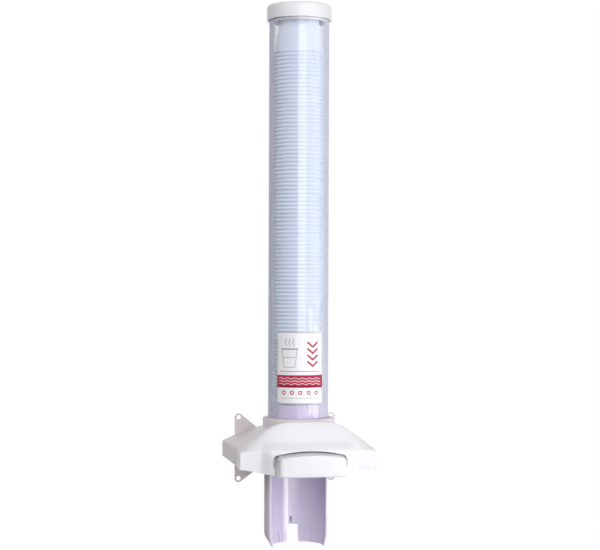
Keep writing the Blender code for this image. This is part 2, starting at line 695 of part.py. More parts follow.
def make_gate_frame():
    floor_top = FRAME_FLOOR_Z + FRAME_FLOOR
    tray = plate(frame_outline(), FRAME_FLOOR_Z, floor_top)
    frame = add("gate_frame", tray, (0.78, 0.78, 0.8), roughness=0.45)
    low = floor_top - 0.4 * MM
    for side in (-1, 1):
        hook = [
            (RAIL_INNER_X, low),
            (RAIL_OUTER_X, low),
            (RAIL_OUTER_X, RAIL_TOP_Z),
            (RAIL_LIP_X, RAIL_TOP_Z),
            (RAIL_LIP_X, GATE_UPPER_BOTTOM_Z + GATE_UPPER + GAP),
            (RAIL_INNER_X, GATE_UPPER_BOTTOM_Z + GATE_UPPER + GAP),
        ]
        hook = [(side * x, z) for x, z in hook]
        join(frame, "gate_rail", rail(hook, FRAME_FRONT_Y + 0.2 * MM, RAIL_BACK_Y))
        xs = sorted((side * CHANNEL_INNER_X, side * (FRAME_HALF_WIDTH - 0.3 * MM)))
        join(frame, "channel_wall", box(*xs, CHANNEL_FRONT_Y, FRAME_BACK_Y - MM, low, CHANNEL_TOP_Z))
        boss = (side * CHUTE_SCREW_X, CHUTE_SCREW_Y, low)
        join(frame, "chute_boss", cylinder(BUTTON_BOSS_R, CHUTE_BOSS, boss, sides=12))
        pilot = (side * CHUTE_SCREW_X, CHUTE_SCREW_Y, FRAME_FLOOR_Z - MM)
        cut(frame, "chute_pilot", cylinder(PILOT_R, CHUTE_PILOT_DEPTH + MM, pilot))
        for y in POST_YS:
            cut(frame, "tab_hole", cylinder(PASS_R, 4 * MM, (side * POST_X, y, FRAME_FLOOR_Z - MM)))
    back = box(
        -FRAME_HALF_WIDTH + 0.1 * MM,
        FRAME_HALF_WIDTH - 0.1 * MM,
        FRAME_BACK_Y - 2 * MM,
        FRAME_BACK_Y - 0.1 * MM,
        low - 0.3 * MM,
        RAIL_TOP_Z,
    )
    join(frame, "stop_wall", back)
    for side in (-1, 1):
        at = (side * SPRING_X, FRAME_BACK_Y - 4 * MM, SPRING_Z)
        cut(frame, "rod_hole", cylinder(ROD_R + GAP, 6 * MM, at, "Y", 12))
    hole = cylinder(FRAME_HOLE_R, 6 * MM, (0, 0, FRAME_FLOOR_Z - 2 * MM), sides=ROUND_SIDES)
    cut(frame, "cup_hole", hole)


def make_springs_and_rods():
    y0 = LUG_YS[1] + GAP + SPRING_WIRE_R
    y1 = FRAME_BACK_Y - 2 * MM - GAP - SPRING_WIRE_R
    count = SPRING_TURNS * SPRING_POINTS_PER_TURN
    for side, word in ((-1, "left"), (1, "right")):
        curve = bpy.data.curves.new("return_spring_" + word, "CURVE")
        curve.dimensions = "3D"
        curve.bevel_depth = SPRING_WIRE_R
        curve.bevel_resolution = 1
        curve.use_fill_caps = True
        line = curve.splines.new("POLY")
        line.points.add(count)
        for i, point in enumerate(line.points):
            angle = math.tau * i / SPRING_POINTS_PER_TURN
            x = side * (SPRING_X + SPRING_COIL_R * math.cos(angle))
            z = SPRING_Z + SPRING_COIL_R * math.sin(angle)
            point.co = (x, y0 + (y1 - y0) * i / count, z, 1.0)
        spring = bpy.data.objects.new(curve.name, curve)
        bpy.context.collection.objects.link(spring)
        spring.location = (0.0, -AXIS_TO_WALL, 0.0)
        curve.materials.append(plastic(curve.name, (0.6, 0.6, 0.62), 0.25, 1.0))
        shank = FRAME_BACK_Y + GAP - ROD_FRONT_Y
        profile = [(0.0, 0.0), (ROD_R, 0.0), (ROD_R, shank), (ROD_HEAD_R, shank)]
        profile += [(ROD_HEAD_R, shank + ROD_HEAD), (0.0, shank + ROD_HEAD)]
        rod = turned(profile, 12)
        stand(rod, (side * SPRING_X, ROD_FRONT_Y, SPRING_Z), "Y")
        add("spring_rod_" + word, rod, (0.62, 0.62, 0.64), roughness=0.25, metallic=1.0)


def make_screws(name, points, axis, flip, length, parent=None):
    """Like screws, one object each, seated under the head at each point. A flipped one points back."""
    profile = [
        (0.0, -SCREW_HEAD),
        (SCREW_HEAD_R * 0.8, -SCREW_HEAD),
        (SCREW_HEAD_R, -SCREW_HEAD * 0.5),
        (SCREW_HEAD_R, 0.0),
        (SCREW_SHANK_R, 0.0),
        (SCREW_SHANK_R, length - 1.4 * MM),
        (0.0, length),
    ]
    for number, point in enumerate(points, 1):
        screw = turned(profile, SCREW_SIDES)
        stand(screw, point, axis, flip)
        add(f"{name}_{number}", screw, (0.66, 0.66, 0.68), parent=parent, roughness=0.3, metallic=1.0)


def chute_section(z, inset):
    """The chute's open half ring at one height, drawn in by the taper."""
    outer = CHUTE_INNER_R + CHUTE_WALL - inset
    inner = CHUTE_INNER_R - inset
    ring = [(outer, CHUTE_FRONT_Y)] + arc((0.0, 0.0), outer, 0, 180, CHUTE_ARC_STEPS)
    ring += [(-outer, CHUTE_FRONT_Y), (-inner, CHUTE_FRONT_Y)]
    ring += arc((0.0, 0.0), inner, 180, 0, CHUTE_ARC_STEPS) + [(inner, CHUTE_FRONT_Y)]
    return [(x, y, z) for x, y in ring]


def make_cup_chute():
    top = FRAME_FLOOR_Z - GAP
    sections = [
        chute_section(CHUTE_BOTTOM_Z, CHUTE_TAPER),
        chute_section(CHUTE_TAPER_Z, 0.0),
        chute_section(top, 0.0),
    ]
    chute = add("cup_chute", loft(sections), (0.84, 0.83, 0.88), roughness=0.3)
    flange = [
        (CHUTE_FLANGE_NECK_X, CHUTE_FRONT_Y + 0.2 * MM),
        (CHUTE_FLANGE_NECK_X, CHUTE_SCREW_Y - FRAME_TAB_HALF),
        (CHUTE_FLANGE_X, CHUTE_SCREW_Y - FRAME_TAB_HALF),
        (CHUTE_FLANGE_X, CHUTE_SCREW_Y + FRAME_TAB_HALF),
        (CHUTE_FLANGE_NECK_X + 4 * MM, CHUTE_SCREW_Y + FRAME_TAB_HALF),
        (CHUTE_FLANGE_NECK_X - 10 * MM, CHUTE_FLANGE_BACK_Y),
    ]
    outer = CHUTE_INNER_R + CHUTE_WALL / 2
    ring = mirrored(flange) + [(-outer, CHUTE_FRONT_Y + 0.2 * MM)]
    ring += arc((0.0, 0.0), outer, 180, 0, CHUTE_ARC_STEPS)
    ring.append((outer, CHUTE_FRONT_Y + 0.2 * MM))
    join(chute, "chute_flange", plate(ring, top - CHUTE_FLANGE, top - 0.1 * MM))
    fin = [
        (CHUTE_FRONT_Y + 0.1 * MM, FIN_BOTTOM_FRONT_Z),
        (FIN_BACK_Y, FIN_BOTTOM_BACK_Z),
        (FIN_BACK_Y, top - MM),
        (CHUTE_FRONT_Y + 0.1 * MM, top - MM),
    ]
    for side in (-1, 1):
        x1 = side * (CHUTE_INNER_R + CHUTE_WALL - 0.05 * MM)
        x0 = x1 - side * FIN_WALL
        join(chute, "side_fin", loft([[(x, y, z) for y, z in fin] for x in (x0, x1)]))
        at = (side * CHUTE_SCREW_X, CHUTE_SCREW_Y, top - 4 * MM)
        cut(chute, "flange_screw_hole", cylinder(PASS_R, 6 * MM, at))
        slit = box(
            CHUTE_INNER_R - 6 * MM,
            CHUTE_INNER_R + 6 * MM,
            -TAPER_SLIT_HALF_WIDTH,
            TAPER_SLIT_HALF_WIDTH,
            CHUTE_BOTTOM_Z - MM,
            TAPER_SLIT_TOP_Z,
        )
        turn = TAPER_SLIT_ANGLE if side > 0 else 180.0 - TAPER_SLIT_ANGLE
        bmesh.ops.rotate(slit, verts=slit.verts, matrix=Matrix.Rotation(math.radians(turn), 3, "Z"))
        cut(chute, "taper_slit", slit)
    half = BACK_SLOT_HALF_WIDTH
    y0 = CHUTE_INNER_R - 8 * MM
    y1 = CHUTE_INNER_R + 8 * MM
    cut(chute, "back_slot", box(-half, half, y0, y1, CHUTE_BOTTOM_Z - MM, BACK_SLOT_TOP_Z))
    notch = box(-half, BACK_NOTCH_WIDTH - half, y0, y1, BACK_SLOT_TOP_Z - MM, BACK_NOTCH_TOP_Z)
    cut(chute, "back_notch", notch)


def make_magazine():
    outer = TUBE_OUTER_R
    inner = TUBE_OUTER_R - TUBE_WALL
    tube = [(outer, TUBE_TOP_Z), (inner, TUBE_TOP_Z), (inner, TUBE_BOTTOM_Z), (outer, TUBE_BOTTOM_Z)]
    add("magazine_tube", turned(tube), (0.9, 0.93, 1.0), roughness=0.05, alpha=0.3)

    low = RAIL_TOP_Z + GAP
    bore = SLEEVE_OUTER_R - SLEEVE_WALL
    sleeve = [
        (bore, low),
        (SLEEVE_FLANGE_R, low),
        (SLEEVE_FLANGE_R, low + SLEEVE_FLANGE),
        (SLEEVE_OUTER_R, low + SLEEVE_FLANGE),
        (SLEEVE_OUTER_R, SLEEVE_TOP_Z),
        (bore, SLEEVE_TOP_Z),
    ]
    add("guide_sleeve", turned(sleeve), (0.85, 0.84, 0.88), roughness=0.25)


def make_tube_cap(lift):
    skirt = CAP_OUTER_R - CAP_WALL
    lip = TUBE_OUTER_R - TUBE_WALL - 0.35 * MM
    under = CAP_TOP_Z - CAP_PLATE
    groove = TUBE_TOP_Z + 0.4 * MM
    edge_z = CAP_TOP_Z - CAP_EDGE_RADIUS
    edge = arc((CAP_OUTER_R - CAP_EDGE_RADIUS, edge_z), CAP_EDGE_RADIUS, 0, 90, 4)
    profile = [(CAP_OUTER_R, CAP_BOTTOM_Z)] + edge
    profile += [
        (0.0, CAP_TOP_Z),
        (0.0, under),
        (lip - CAP_LIP_WALL, under),
        (lip - CAP_LIP_WALL, CAP_LIP_Z),
        (lip, CAP_LIP_Z),
        (lip, groove),
        (skirt, groove),
        (skirt, CAP_BOTTOM_Z),
    ]
    add("tube_cap", turned(profile), (0.93, 0.93, 0.95), parent=lift, roughness=0.3)


def rim_z(number):
    """Height of the bottom of a cup's rim, counting the lowest cup as 1."""
    return FIRST_RIM_Z + (number - 1) * CUP_PITCH


def cup_outside(z):
    """A cup's outside above its rim, from the top of the rim to the middle of its base."""
    return [
        (CUP_MOUTH_R, z + CUP_RIM_HEIGHT),
        (CUP_SHOULDER_R, z + CUP_HEIGHT - MM),
        (CUP_BASE_R, z + CUP_HEIGHT),
        (0.0, z + CUP_HEIGHT),
    ]


def cup_inside(z):
    """A cup's inside, from the middle of its base to the mouth."""
    return [
        (0.0, z + CUP_HEIGHT - CUP_BASE_WALL),
        (CUP_BASE_R - 0.2 * MM, z + CUP_HEIGHT - CUP_BASE_WALL),
        (CUP_SHOULDER_R - CUP_WALL, z + CUP_HEIGHT - 1.2 * MM),
        (CUP_MOUTH_R - CUP_WALL, z + CUP_RIM_HEIGHT),
        (CUP_RIM_R - CUP_RIM_WALL, z + CUP_RIM_HEIGHT - 0.6 * MM),
        (CUP_RIM_R - CUP_RIM_WALL, z),
    ]


def make_cups():
    """The two cups in the gate and the top one are thin shells. The column between them is one solid."""
    singles = {"cup_ready": 1, "cup_waiting": 2, "cup_top": CUP_COUNT}
    for name, number in singles.items():
        z = rim_z(number)
        rim = [(CUP_RIM_R, z), (CUP_RIM_R, z + CUP_RIM_HEIGHT)]
        profile = rim + cup_outside(z) + cup_inside(z)
        add(name, turned(profile, CUP_SIDES), (0.72, 0.78, 0.9), roughness=0.3)
    profile = []
    for number in range(3, CUP_COUNT):
        z = rim_z(number)
        profile.append((CUP_RIM_R, z + CUP_RIM_HEIGHT / 2))
        if number < CUP_COUNT - 1:
            profile.append((CUP_MOUTH_R, z + (CUP_RIM_HEIGHT + CUP_PITCH) / 2))
    profile += cup_outside(rim_z(CUP_COUNT - 1)) + cup_inside(rim_z(3))
    add("cup_stack", turned(profile, CUP_SIDES), (0.74, 0.8, 0.92), roughness=0.3)


def pivot(name, location):
    """An empty that stands on a joint's axis and carries what moves with it."""
    empty = bpy.data.objects.new(name, None)
    empty.empty_display_size = 0.02
    bpy.context.collection.objects.link(empty)
    empty.location = location
    return empty


def main():
    clear_scene()
    slider = pivot("button_slide_origin", (0.0, BUTTON_FRONT_Y - AXIS_TO_WALL, BUTTON_SCREW_Z))
    lift = pivot("cap_lift_origin", (0.0, -AXIS_TO_WALL, CAP_BOTTOM_Z))
    make_rear_housing()
    make_front_cover()
    make_gate_frame()
    make_springs_and_rods()
    make_push_button(slider)
    make_shuttle_gate(slider)
    make_cup_chute()
    make_magazine()
    make_tube_cap(lift)
    make_cups()

    under_frame = FRAME_FLOOR_Z - GAP
    posts = [(side * POST_X, y, under_frame) for side in (-1, 1) for y in POST_YS]
    make_screws("frame_screw", posts, "Z", False, 9 * MM)
    under_chute = FRAME_FLOOR_Z - 2 * GAP - CHUTE_FLANGE
    tabs = [(side * CHUTE_SCREW_X, CHUTE_SCREW_Y, under_chute) for side in (-1, 1)]
    make_screws("chute_screw", tabs, "Z", False, 8 * MM)
    behind_tab = HOUSING_FRONT_Y + WALL + GAP
    bosses = [(side * COVER_SCREW_X, behind_tab, COVER_SCREW_Z) for side in (-1, 1)]
    make_screws("cover_screw", bosses, "Y", True, 7.5 * MM)
    behind_flange = GATE_FRONT_Y + 0.4 * MM + GAP
    ends = [(side * BUTTON_SCREW_X, behind_flange, BUTTON_SCREW_Z) for side in (-1, 1)]
    make_screws("button_screw", ends, "Y", True, 12 * MM, parent=slider)


main()
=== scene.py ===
"""Looks of the wall-mounted cup dispenser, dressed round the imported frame.

Metres, +Z up, the button faces -Y and the wall plane is Y = 0. Turned pieces and screws take their outer
sizes from the frame's nodes. The lines that drive each moulding are the constants here. Cover, button,
housing and chute are drawn round the tube's axis, and at_axis moves them to where it stands.
"""

import math

import bmesh
import bpy
from mathutils import Matrix, Vector


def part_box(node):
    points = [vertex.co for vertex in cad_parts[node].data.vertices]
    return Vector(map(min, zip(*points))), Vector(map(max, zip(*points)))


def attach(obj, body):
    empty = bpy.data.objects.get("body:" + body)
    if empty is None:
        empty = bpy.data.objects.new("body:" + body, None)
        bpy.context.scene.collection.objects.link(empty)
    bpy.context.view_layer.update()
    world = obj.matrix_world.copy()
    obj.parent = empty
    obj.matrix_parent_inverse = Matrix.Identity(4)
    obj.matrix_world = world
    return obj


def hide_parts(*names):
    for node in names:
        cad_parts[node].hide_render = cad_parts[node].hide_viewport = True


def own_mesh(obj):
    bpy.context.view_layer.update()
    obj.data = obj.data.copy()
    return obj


MM = 0.001


def in_mm(*points):
    return [(a * MM, b * MM) for a, b in points]


# Camera: level, looking some 12 degrees from the left, with the photo's long lens and slight roll.
CAMERA_AT = (-0.3068, -1.5526, 0.160)
CAMERA_TURN = -11.7
CAMERA_ROLL = -0.2
CAMERA_LENS = 96.0
CAMERA_SHIFT_Y = 10.0 / 600.0

# Cups: thermoformed, mouth down, with a rolled rim. The top one has fine ribs between two shares of its
# height, which grow from nothing at the lower one.
CUP_SIDES = 72
CUP_COUNT = 102
CUP_MOUTH_INSET = 1.8 * MM
CUP_DRAW = 6.3 * MM
CUP_BEAD = 1.1 * MM
CUP_WALL = 0.3 * MM
CUP_RIBS = 45
CUP_RIB_DEPTH = 0.4 * MM
CUP_RIB_SPAN = (0.42, 0.975)
CUP_RIB_FADE = 6.0

# Sticker on the tube.
STICKER_TURN = -7.3
STICKER_HALF_ANGLE = 47.9
STICKER_Z = (49.2 * MM, 115.4 * MM)
STICKER_CORNER = 2.6 * MM
STICKER_LIFT = 0.12 * MM
BAND = (15.0 * MM, 26.6 * MM)
PRINT_STEP = 1.6 * MM
PRINT_LIFT = 0.04 * MM
BAND_LIFT = 0.08 * MM
FILM = 0.06 * MM
INK = 0.03 * MM

# The sticker's drawing, in millimetres across and up from the middle of its lower edge.
ART_CUP_U = -10.5
ART_CUP = ((-5.0, 34.0), (5.0, 34.0), (5.6, 35.2), (7.4, 50.6), (-7.4, 50.6), (-5.6, 35.2))
ART_CUP_BARS = ((8.3, 51.2, 1.0), (6.6, 43.0, 0.5))
ART_WISPS = (-3.6, 0.0, 3.6)
ART_CHEVRON = ((6.5, 0.0), (12.0, -4.4), (17.5, 0.0))
ART_CHEVRON_TOPS = (57.5, 51.5, 45.5, 39.5)
ART_WAVES = (18.4, 21.0, 23.6)

# Front cover.
WALL = 2.0 * MM
COVER_HALF_WIDTH = 64.55 * MM
COVER_CORNER_Y = -50.4 * MM
COVER_TOP_Y = -42.5 * MM
COVER_BACK_Y = -38.5 * MM
COVER_BOW = 3.6 * MM
FACE_BULGE = 0.3
COVER_WING_Z = 7.2 * MM
COVER_BOTTOM_Z = -8.9 * MM
COVER_HOOD_BOTTOM_Z = -13.4 * MM
COVER_END_CORNER = 1.6 * MM
ARCH_TOP_Z = 33.7 * MM
ARCH_FLAT_X = 16.0 * MM
ARCH_SHOULDER_X = 42.0 * MM
HOOD_BULGE = 4.0 * MM
HOOD_INNER_X = 35.3 * MM
HOOD_OUTER_X = 45.5 * MM
HOOD_TOP_Z = 17.0 * MM
MOUTH_HALF_WIDTH = 34.8 * MM
MOUTH_TOP_Z = 8.0 * MM
MOUTH_SAG = 3.5 * MM
MOUTH_CORNER = 5.0 * MM
MOUTH_TURN_Z = MOUTH_TOP_Z - MOUTH_SAG - MOUTH_CORNER
MOUTH_LIP_X = 32.9 * MM
MOUTH_LIP_Z = (-8.2 * MM, -5.2 * MM)
COVER_SOFTNESS = 1.5 * MM
COVER_BOSS = (52.0 * MM, -1.0 * MM)
COVER_BOSS_LENGTH = 11.2 * MM
COVER_BOSS_R = 3.5 * MM
# Where the cover's top edge is split on the way from end to centre, and the steps of each stretch.
EDGE_STEP = 0.7 * MM
EDGE_SPLITS = (COVER_HALF_WIDTH, 44.0 * MM, 34.0 * MM, 28.0 * MM, 0.5 * MM)
EDGE_STEPS = (45, 19, 13, 27)
# Points down the leaning face and down the band, the least distance from the crease to the mouth, and how
# early the columns beside the mouth swing to its edge.
FACE_STEPS = 12
BAND_STEPS = 16
CREASE_GAP = 0.8 * MM
MOUTH_BEND = 0.34
# A bent rib behind each side of the button, seen from above.
SHIELD = in_mm((36.2, -55.8), (37.6, -55.8), (37.6, -48.6), (31.5, -48.6), (31.5, -50.0), (36.2, -50.0))
SHIELD_Z = (-5.5 * MM, 4.6 * MM)

# Push button.
BUTTON_HALF_WIDTH = 30.8 * MM
BUTTON_FRONT_Y = -75.0 * MM
BUTTON_BACK_Y = -46.6 * MM
BUTTON_BOW = 3.2 * MM
BUTTON_TOP_Z = 6.5 * MM
BUTTON_SAG = 3.0 * MM
BUTTON_CORNER = 3.2 * MM
BUTTON_BOTTOM_Z = -14.4 * MM
BUTTON_SOFTNESS = 1.2 * MM
BUTTON_SLOPE_Y = -57.0 * MM
BUTTON_SLOPE = 0.7 * MM
BUTTON_END_ANGLES = (90, 78, 66, 54, 42, 30, 18, 8)
BUTTON_BOSS = (18.0 * MM, -4.0 * MM)
BUTTON_BOSS_R = 3.0 * MM
BUTTON_WALL = 1.8 * MM
BOSS_BORE_R = 1.55 * MM

# Rear housing.
HOUSING_HALF_WIDTH = 62.7 * MM
HOUSING_FRONT_Y = -38.2 * MM
HOUSING_BOTTOM_Z = (-8.7 * MM, -7.3 * MM)
ROOF_STEP = 0.5 * MM
ROOF_STEPS = 60
ROOF_SOFTNESS = 1.6 * MM
ROOF_FRONT_XS = (62.7 * MM, 55.4 * MM, 36.0 * MM, 24.0 * MM, 0.0)
ROOF_BACK = in_mm((62.7, 7.5), (50.4, 12.9), (36.0, 18.2), (24.0, 21.6), (0.0, 22.6))
EAR_HOLE = (46.6 * MM, 30.0 * MM)
EAR_HOLE_R = 2.2 * MM
EAR_TIP_R = 3.8 * MM
EAR_FOOT_X = 28.0 * MM
EAR_KEEL = (10.5 * MM, -8.3 * MM)
COLLAR_R = 33.45 * MM
COLLAR_Z = (13.8 * MM, 34.7 * MM)
COLLAR_SOFTNESS = 0.8 * MM
TUBE_CLEARANCE = 0.3 * MM
BORE_STEP_R = 27.2 * MM
POST_X = 45.0 * MM
POST_YS = (-22.0 * MM, 38.0 * MM)
POST_R = 3.5 * MM
POST_Z = (3.5 * MM, 40.0 * MM)
TAB_X = 46.0 * MM
TAB_Z = (-6.0 * MM, 4.0 * MM)

# Chute.
CHUTE_INNER_R = 25.95 * MM
CHUTE_WALL = 1.9 * MM
CHUTE_FRONT_Y = -4.7 * MM
CHUTE_Z = (-87.3 * MM, -75.3 * MM, 0.9 * MM)
CHUTE_TAPER = 2.2 * MM
TAPER_EASE = -0.35
FIN_WALL = 1.7 * MM
FIN_FRONT_INSET = 0.6 * MM
FIN_BACK_Y = 24.7 * MM
FIN_BOTTOM_Z = (-87.0 * MM, -81.0 * MM)
FIN_FOOT_Y = 0.0
FLANGE = in_mm((30.0, -4.5), (30.0, 3.0), (48.0, 3.0), (48.0, 13.0), (34.0, 13.0), (20.0, 33.0))
SLOT_HALF_WIDTH = 5.7 * MM
SLOT_TOP_Z = -71.0 * MM
NOTCH_TOP_Z = -63.0 * MM
NOTCH_X = (-2.6 * MM, -0.6 * MM)
POCKET_WALL = 0.8 * MM
POCKET_DEPTH = 5.0 * MM
SLIT_ANGLE = 56.0
SLIT_WIDTH = 1.0 * MM
SLIT_TOP_Z = -78.0 * MM
CUT_REACH = 8.0 * MM

# Springs and screws. A recess is given by the cross's span, its width and its depth.
SPRING_TURNS = 15
SPRING_WIRE_R = 0.36 * MM
SPRING_END_SHARE = 0.06
RECESS = (3.0 * MM, 0.65 * MM, 1.0 * MM)
SCREW_HEAD = 1.7 * MM
SCREW_CORE_R = 1.0 * MM
SCREW_THREAD_R = 1.2 * MM
SCREW_PITCH = 0.8 * MM

# Tube, cap and sleeve. The haze is weak where the tube faces the eye and strong at its edges; it grows
# between the two facing values.
TUBE_WALL = 1.3 * MM
TUBE_HAZE = (0.05, 0.8)
TUBE_HAZE_FACING = (0.25, 0.82)
TUBE_GLOSS = 0.045
CAP_TOP = 2.4 * MM
CAP_CORNER = 2.2 * MM
CAP_WALL = 1.95 * MM
CAP_SKIRT_RISE = 2.1 * MM
CAP_LIP_WALL = 1.6 * MM
CAP_CLEARANCE = 0.35 * MM
SLEEVE_R = 26.9 * MM
SLEEVE_WALL = 1.0 * MM
SLEEVE_FLANGE = 1.5 * MM

# Studio light: soft boxes in watts. The wide one in front on the right is the strongest.
KEY_POWER = 15.0
FRONT_RIGHT_POWER = 21.0
LOW_RIGHT_POWER = 7.0
STREAK_POWER = 2.0
OVERHEAD_POWER = 2.5
LEFT_POWER = 8.5
BACK_POWER = 11.0
AMBIENT = 0.12

FLOOR_Z = -0.6
WHITE = (1.0, 1.0, 1.0, 1.0)


def linear(value):
    value /= 255.0
    return value / 12.92 if value <= 0.04045 else ((value + 0.055) / 1.055) ** 2.4


def srgb(red, green, blue):
    """A screen colour as the linear colour that Blender's sockets take."""
    return (linear(red), linear(green), linear(blue), 1.0)


def link(tree, source, target):
    tree.links.new(source, target)


def new_material(name):
    """A material with its node tree and its shader."""
    made = bpy.data.materials.new(name)
    made.use_nodes = True
    return made, made.node_tree, made.node_tree.nodes["Principled BSDF"]


def fill(node, **sockets):
    """Sets a node's sockets by their names, with an underscore for each space."""
    for socket, value in sockets.items():
        node.inputs[socket.replace("_", " ")].default_value = value
    return node


def add_node(tree, kind, **sockets):
    return fill(tree.nodes.new("ShaderNode" + kind), **sockets)


def noise(tree, scale, detail=2.0):
    made = add_node(tree, "TexNoise", Scale=scale, Detail=detail)
    link(tree, add_node(tree, "TexCoord").outputs["Object"], made.inputs["Vector"])
    return made.outputs["Fac"]


def ranged(tree, value, low, high, start=0.0, end=1.0, smooth=False):
    """A value between a start and an end turned into one from low to high."""
    made = add_node(tree, "MapRange", From_Min=start, From_Max=end, To_Min=low, To_Max=high)
    if smooth:
        made.interpolation_type = "SMOOTHSTEP"
    link(tree, value, made.inputs["Value"])
    return made.outputs["Result"]


def tone_between(tree, factor, one, other):
    made = add_node(tree, "Mix")
    made.data_type = "RGBA"
    fill(made, A=one, B=other)
    link(tree, factor, made.inputs["Factor"])
    return made.outputs["Result"]


def blend(tree, factor, one, other):
    """Two shaders mixed by a fixed share or by a socket."""
    made = add_node(tree, "MixShader")
    if isinstance(factor, float):
        fill(made, Fac=factor)
    else:
        link(tree, factor, made.inputs["Fac"])
    link(tree, one.outputs[0], made.inputs[1])
    link(tree, other.outputs[0], made.inputs[2])
    return made


def plastic(name, colour, roughness, grain=0.0, grain_scale=900.0, mottle=0.02, **sockets):
    """Moulded plastic: a fine grain in the surface and a faint large-scale change of tone."""
    made, tree, shader = new_material(name)
    broad = noise(tree, 14.0, 3.0)
    darker = tuple(c * (1.0 - mottle) for c in colour[:3]) + (1.0,)
    lighter = tuple(min(1.0, c * (1.0 + mottle)) for c in colour[:3]) + (1.0,)
    link(tree, tone_between(tree, broad, darker, lighter), shader.inputs["Base Color"])
    link(tree, ranged(tree, broad, roughness * 0.88, roughness * 1.12), shader.inputs["Roughness"])
    if grain:
        bump = add_node(tree, "Bump", Strength=grain, Distance=0.1 * MM)
        link(tree, noise(tree, grain_scale), bump.inputs["Height"])
        link(tree, bump.outputs["Normal"], shader.inputs["Normal"])
    fill(shader, **sockets)
    return made


def metal(name, colour, roughness):
    """Plated or drawn steel, with the streaks of its making."""
    made, tree, shader = new_material(name)
    fill(shader, Base_Color=colour, Metallic=1.0)
    streaks = ranged(tree, noise(tree, 600.0), roughness * 0.7, roughness * 1.4)
    link(tree, streaks, shader.inputs["Roughness"])
    return made


def clear_plastic(name):
    """The tube's extruded acrylic: see-through with a sheen, and milky where the wall is seen edge-on."""
    made, tree, milk = new_material(name)
    fill(milk, Roughness=0.4, Specular_IOR_Level=0.1)
    tone = tone_between(tree, noise(tree, 40.0), srgb(216, 219, 236), srgb(222, 225, 242))
    link(tree, tone, milk.inputs["Base Color"])
    facing = add_node(tree, "LayerWeight", Blend=0.5).outputs["Facing"]
    haze = ranged(tree, facing, *TUBE_HAZE, *TUBE_HAZE_FACING, smooth=True)
    body = blend(tree, haze, add_node(tree, "BsdfTransparent", Color=WHITE), milk)
    surface = blend(tree, TUBE_GLOSS, body, add_node(tree, "BsdfGlossy", Roughness=0.03))
    link(tree, surface.outputs[0], tree.nodes["Material Output"].inputs["Surface"])
    return made


def new_object(name, bm, finish, smooth_degrees=35.0, merge=1e-6):
    """Turns a bmesh that is already in place into an object with one material."""
    bmesh.ops.remove_doubles(bm, verts=bm.verts, dist=merge)
    bmesh.ops.recalc_face_normals(bm, faces=bm.faces)
    mesh = bpy.data.meshes.new(name)
    bm.to_mesh(mesh)
    bm.free()
    mesh.shade_smooth()
    mesh.set_sharp_from_angle(angle=math.radians(smooth_degrees))
    mesh.materials.append(finish)
    obj = bpy.data.objects.new(name, mesh)
    bpy.context.scene.collection.objects.link(obj)
    return obj


def stands_for(obj, body, slot, *nodes):
    """The piece rides on a body and hides the nodes that it stands for. The slot is not used."""
    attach(obj, body)
    if nodes:
        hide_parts(*nodes)


def arc(centre, radius, start, end, steps):
    """Points on a circle from one angle to another, in degrees."""
    angles = [math.radians(start + (end - start) * i / steps) for i in range(steps + 1)]
    return [(centre[0] + radius * math.cos(a), centre[1] + radius * math.sin(a)) for a in angles]


def full_circle(centre, radius, sides):
    return arc(centre, radius, 0, 360.0 * (sides - 1) / sides, sides - 1)


def round_point(axis_at, radius, angle, z):
    """The point on a level circle round an upright axis, at an angle in radians."""
    return (axis_at.x + radius * math.cos(angle), axis_at.y + radius * math.sin(angle), z)


def turned(profile, sides, axis_at=Vector(), wave=None, bm=None):
    """A solid of revolution about an upright axis, in a bmesh of its own or added to one.
    wave(angle, height) may change a radius."""
    if bm is None:
        bm = bmesh.new()
    rings = []
    for radius, z in profile:
        if radius < 1e-9:
            rings.append([bm.verts.new((axis_at.x, axis_at.y, z))])
            continue
        ring = []
        for i in range(sides):
            angle = math.tau * i / sides
            r = radius + (wave(angle, z) if wave else 0.0)
            ring.append(bm.verts.new(round_point(axis_at, r, angle, z)))
        rings.append(ring)
    for low, high in zip(rings, rings[1:] + rings[:1]):
        if len(low) == 1 and len(high) == 1:
            continue
        for i in range(sides):
            j = (i + 1) % sides
            corners = [low[i % len(low)], low[j % len(low)], high[j % len(high)], high[i % len(high)]]
            bm.faces.new(list(dict.fromkeys(corners)))
    return bm


def rounded(profile, radius, steps=3):
    """A closed profile with each of its corners rounded by up to the radius."""
    points = []
    count = len(profile)
    for i, (x, z) in enumerate(profile):
        here = Vector((x, z))
        before = Vector(profile[i - 1]) - here
        after = Vector(profile[(i + 1) % count]) - here
        if x < 1e-9 or before.length < 1e-9 or after.length < 1e-9:
            points.append((x, z))
            continue
        reach = min(radius, before.length * 0.45, after.length * 0.45)
        start = here + before.normalized() * reach
        end = here + after.normalized() * reach
        for k in range(steps + 1):
            t = k / steps
            point = start * (1 - t) ** 2 + here * 2 * t * (1 - t) + end * t**2
            points.append((point.x, point.y))
    return points


def bridge(bm, loops, close=False):
    """Faces between loops of points that have the same number of points. close joins each loop's ends."""
    grid = [[bm.verts.new(point) for point in loop] for loop in loops]
    for one, other in zip(grid, grid[1:]):
        for i in range(len(one) - (not close)):
            j = (i + 1) % len(one)
            bm.faces.new((one[i], one[j], other[j], other[i]))
    return grid


def solid(loops, close=True):
    """A solid through loops of points, capped at both ends. close joins each loop's ends."""
    bm = bmesh.new()
    grid = bridge(bm, loops, close)
    bm.faces.new(grid[0])
    bm.faces.new(grid[-1])
    return bm


def prism(outline, axis, start, end):
    """A solid from a flat outline, in X and Y along Z or in X and Z along Y."""
    loops = []
    for level in (start, end):
        loops.append([(a, b, level) if axis == "Z" else (a, level, b) for a, b in outline])
    return solid(loops)


def rectangle(a0, a1, b0, b1):
    return [(a0, b0), (a1, b0), (a1, b1), (a0, b1)]


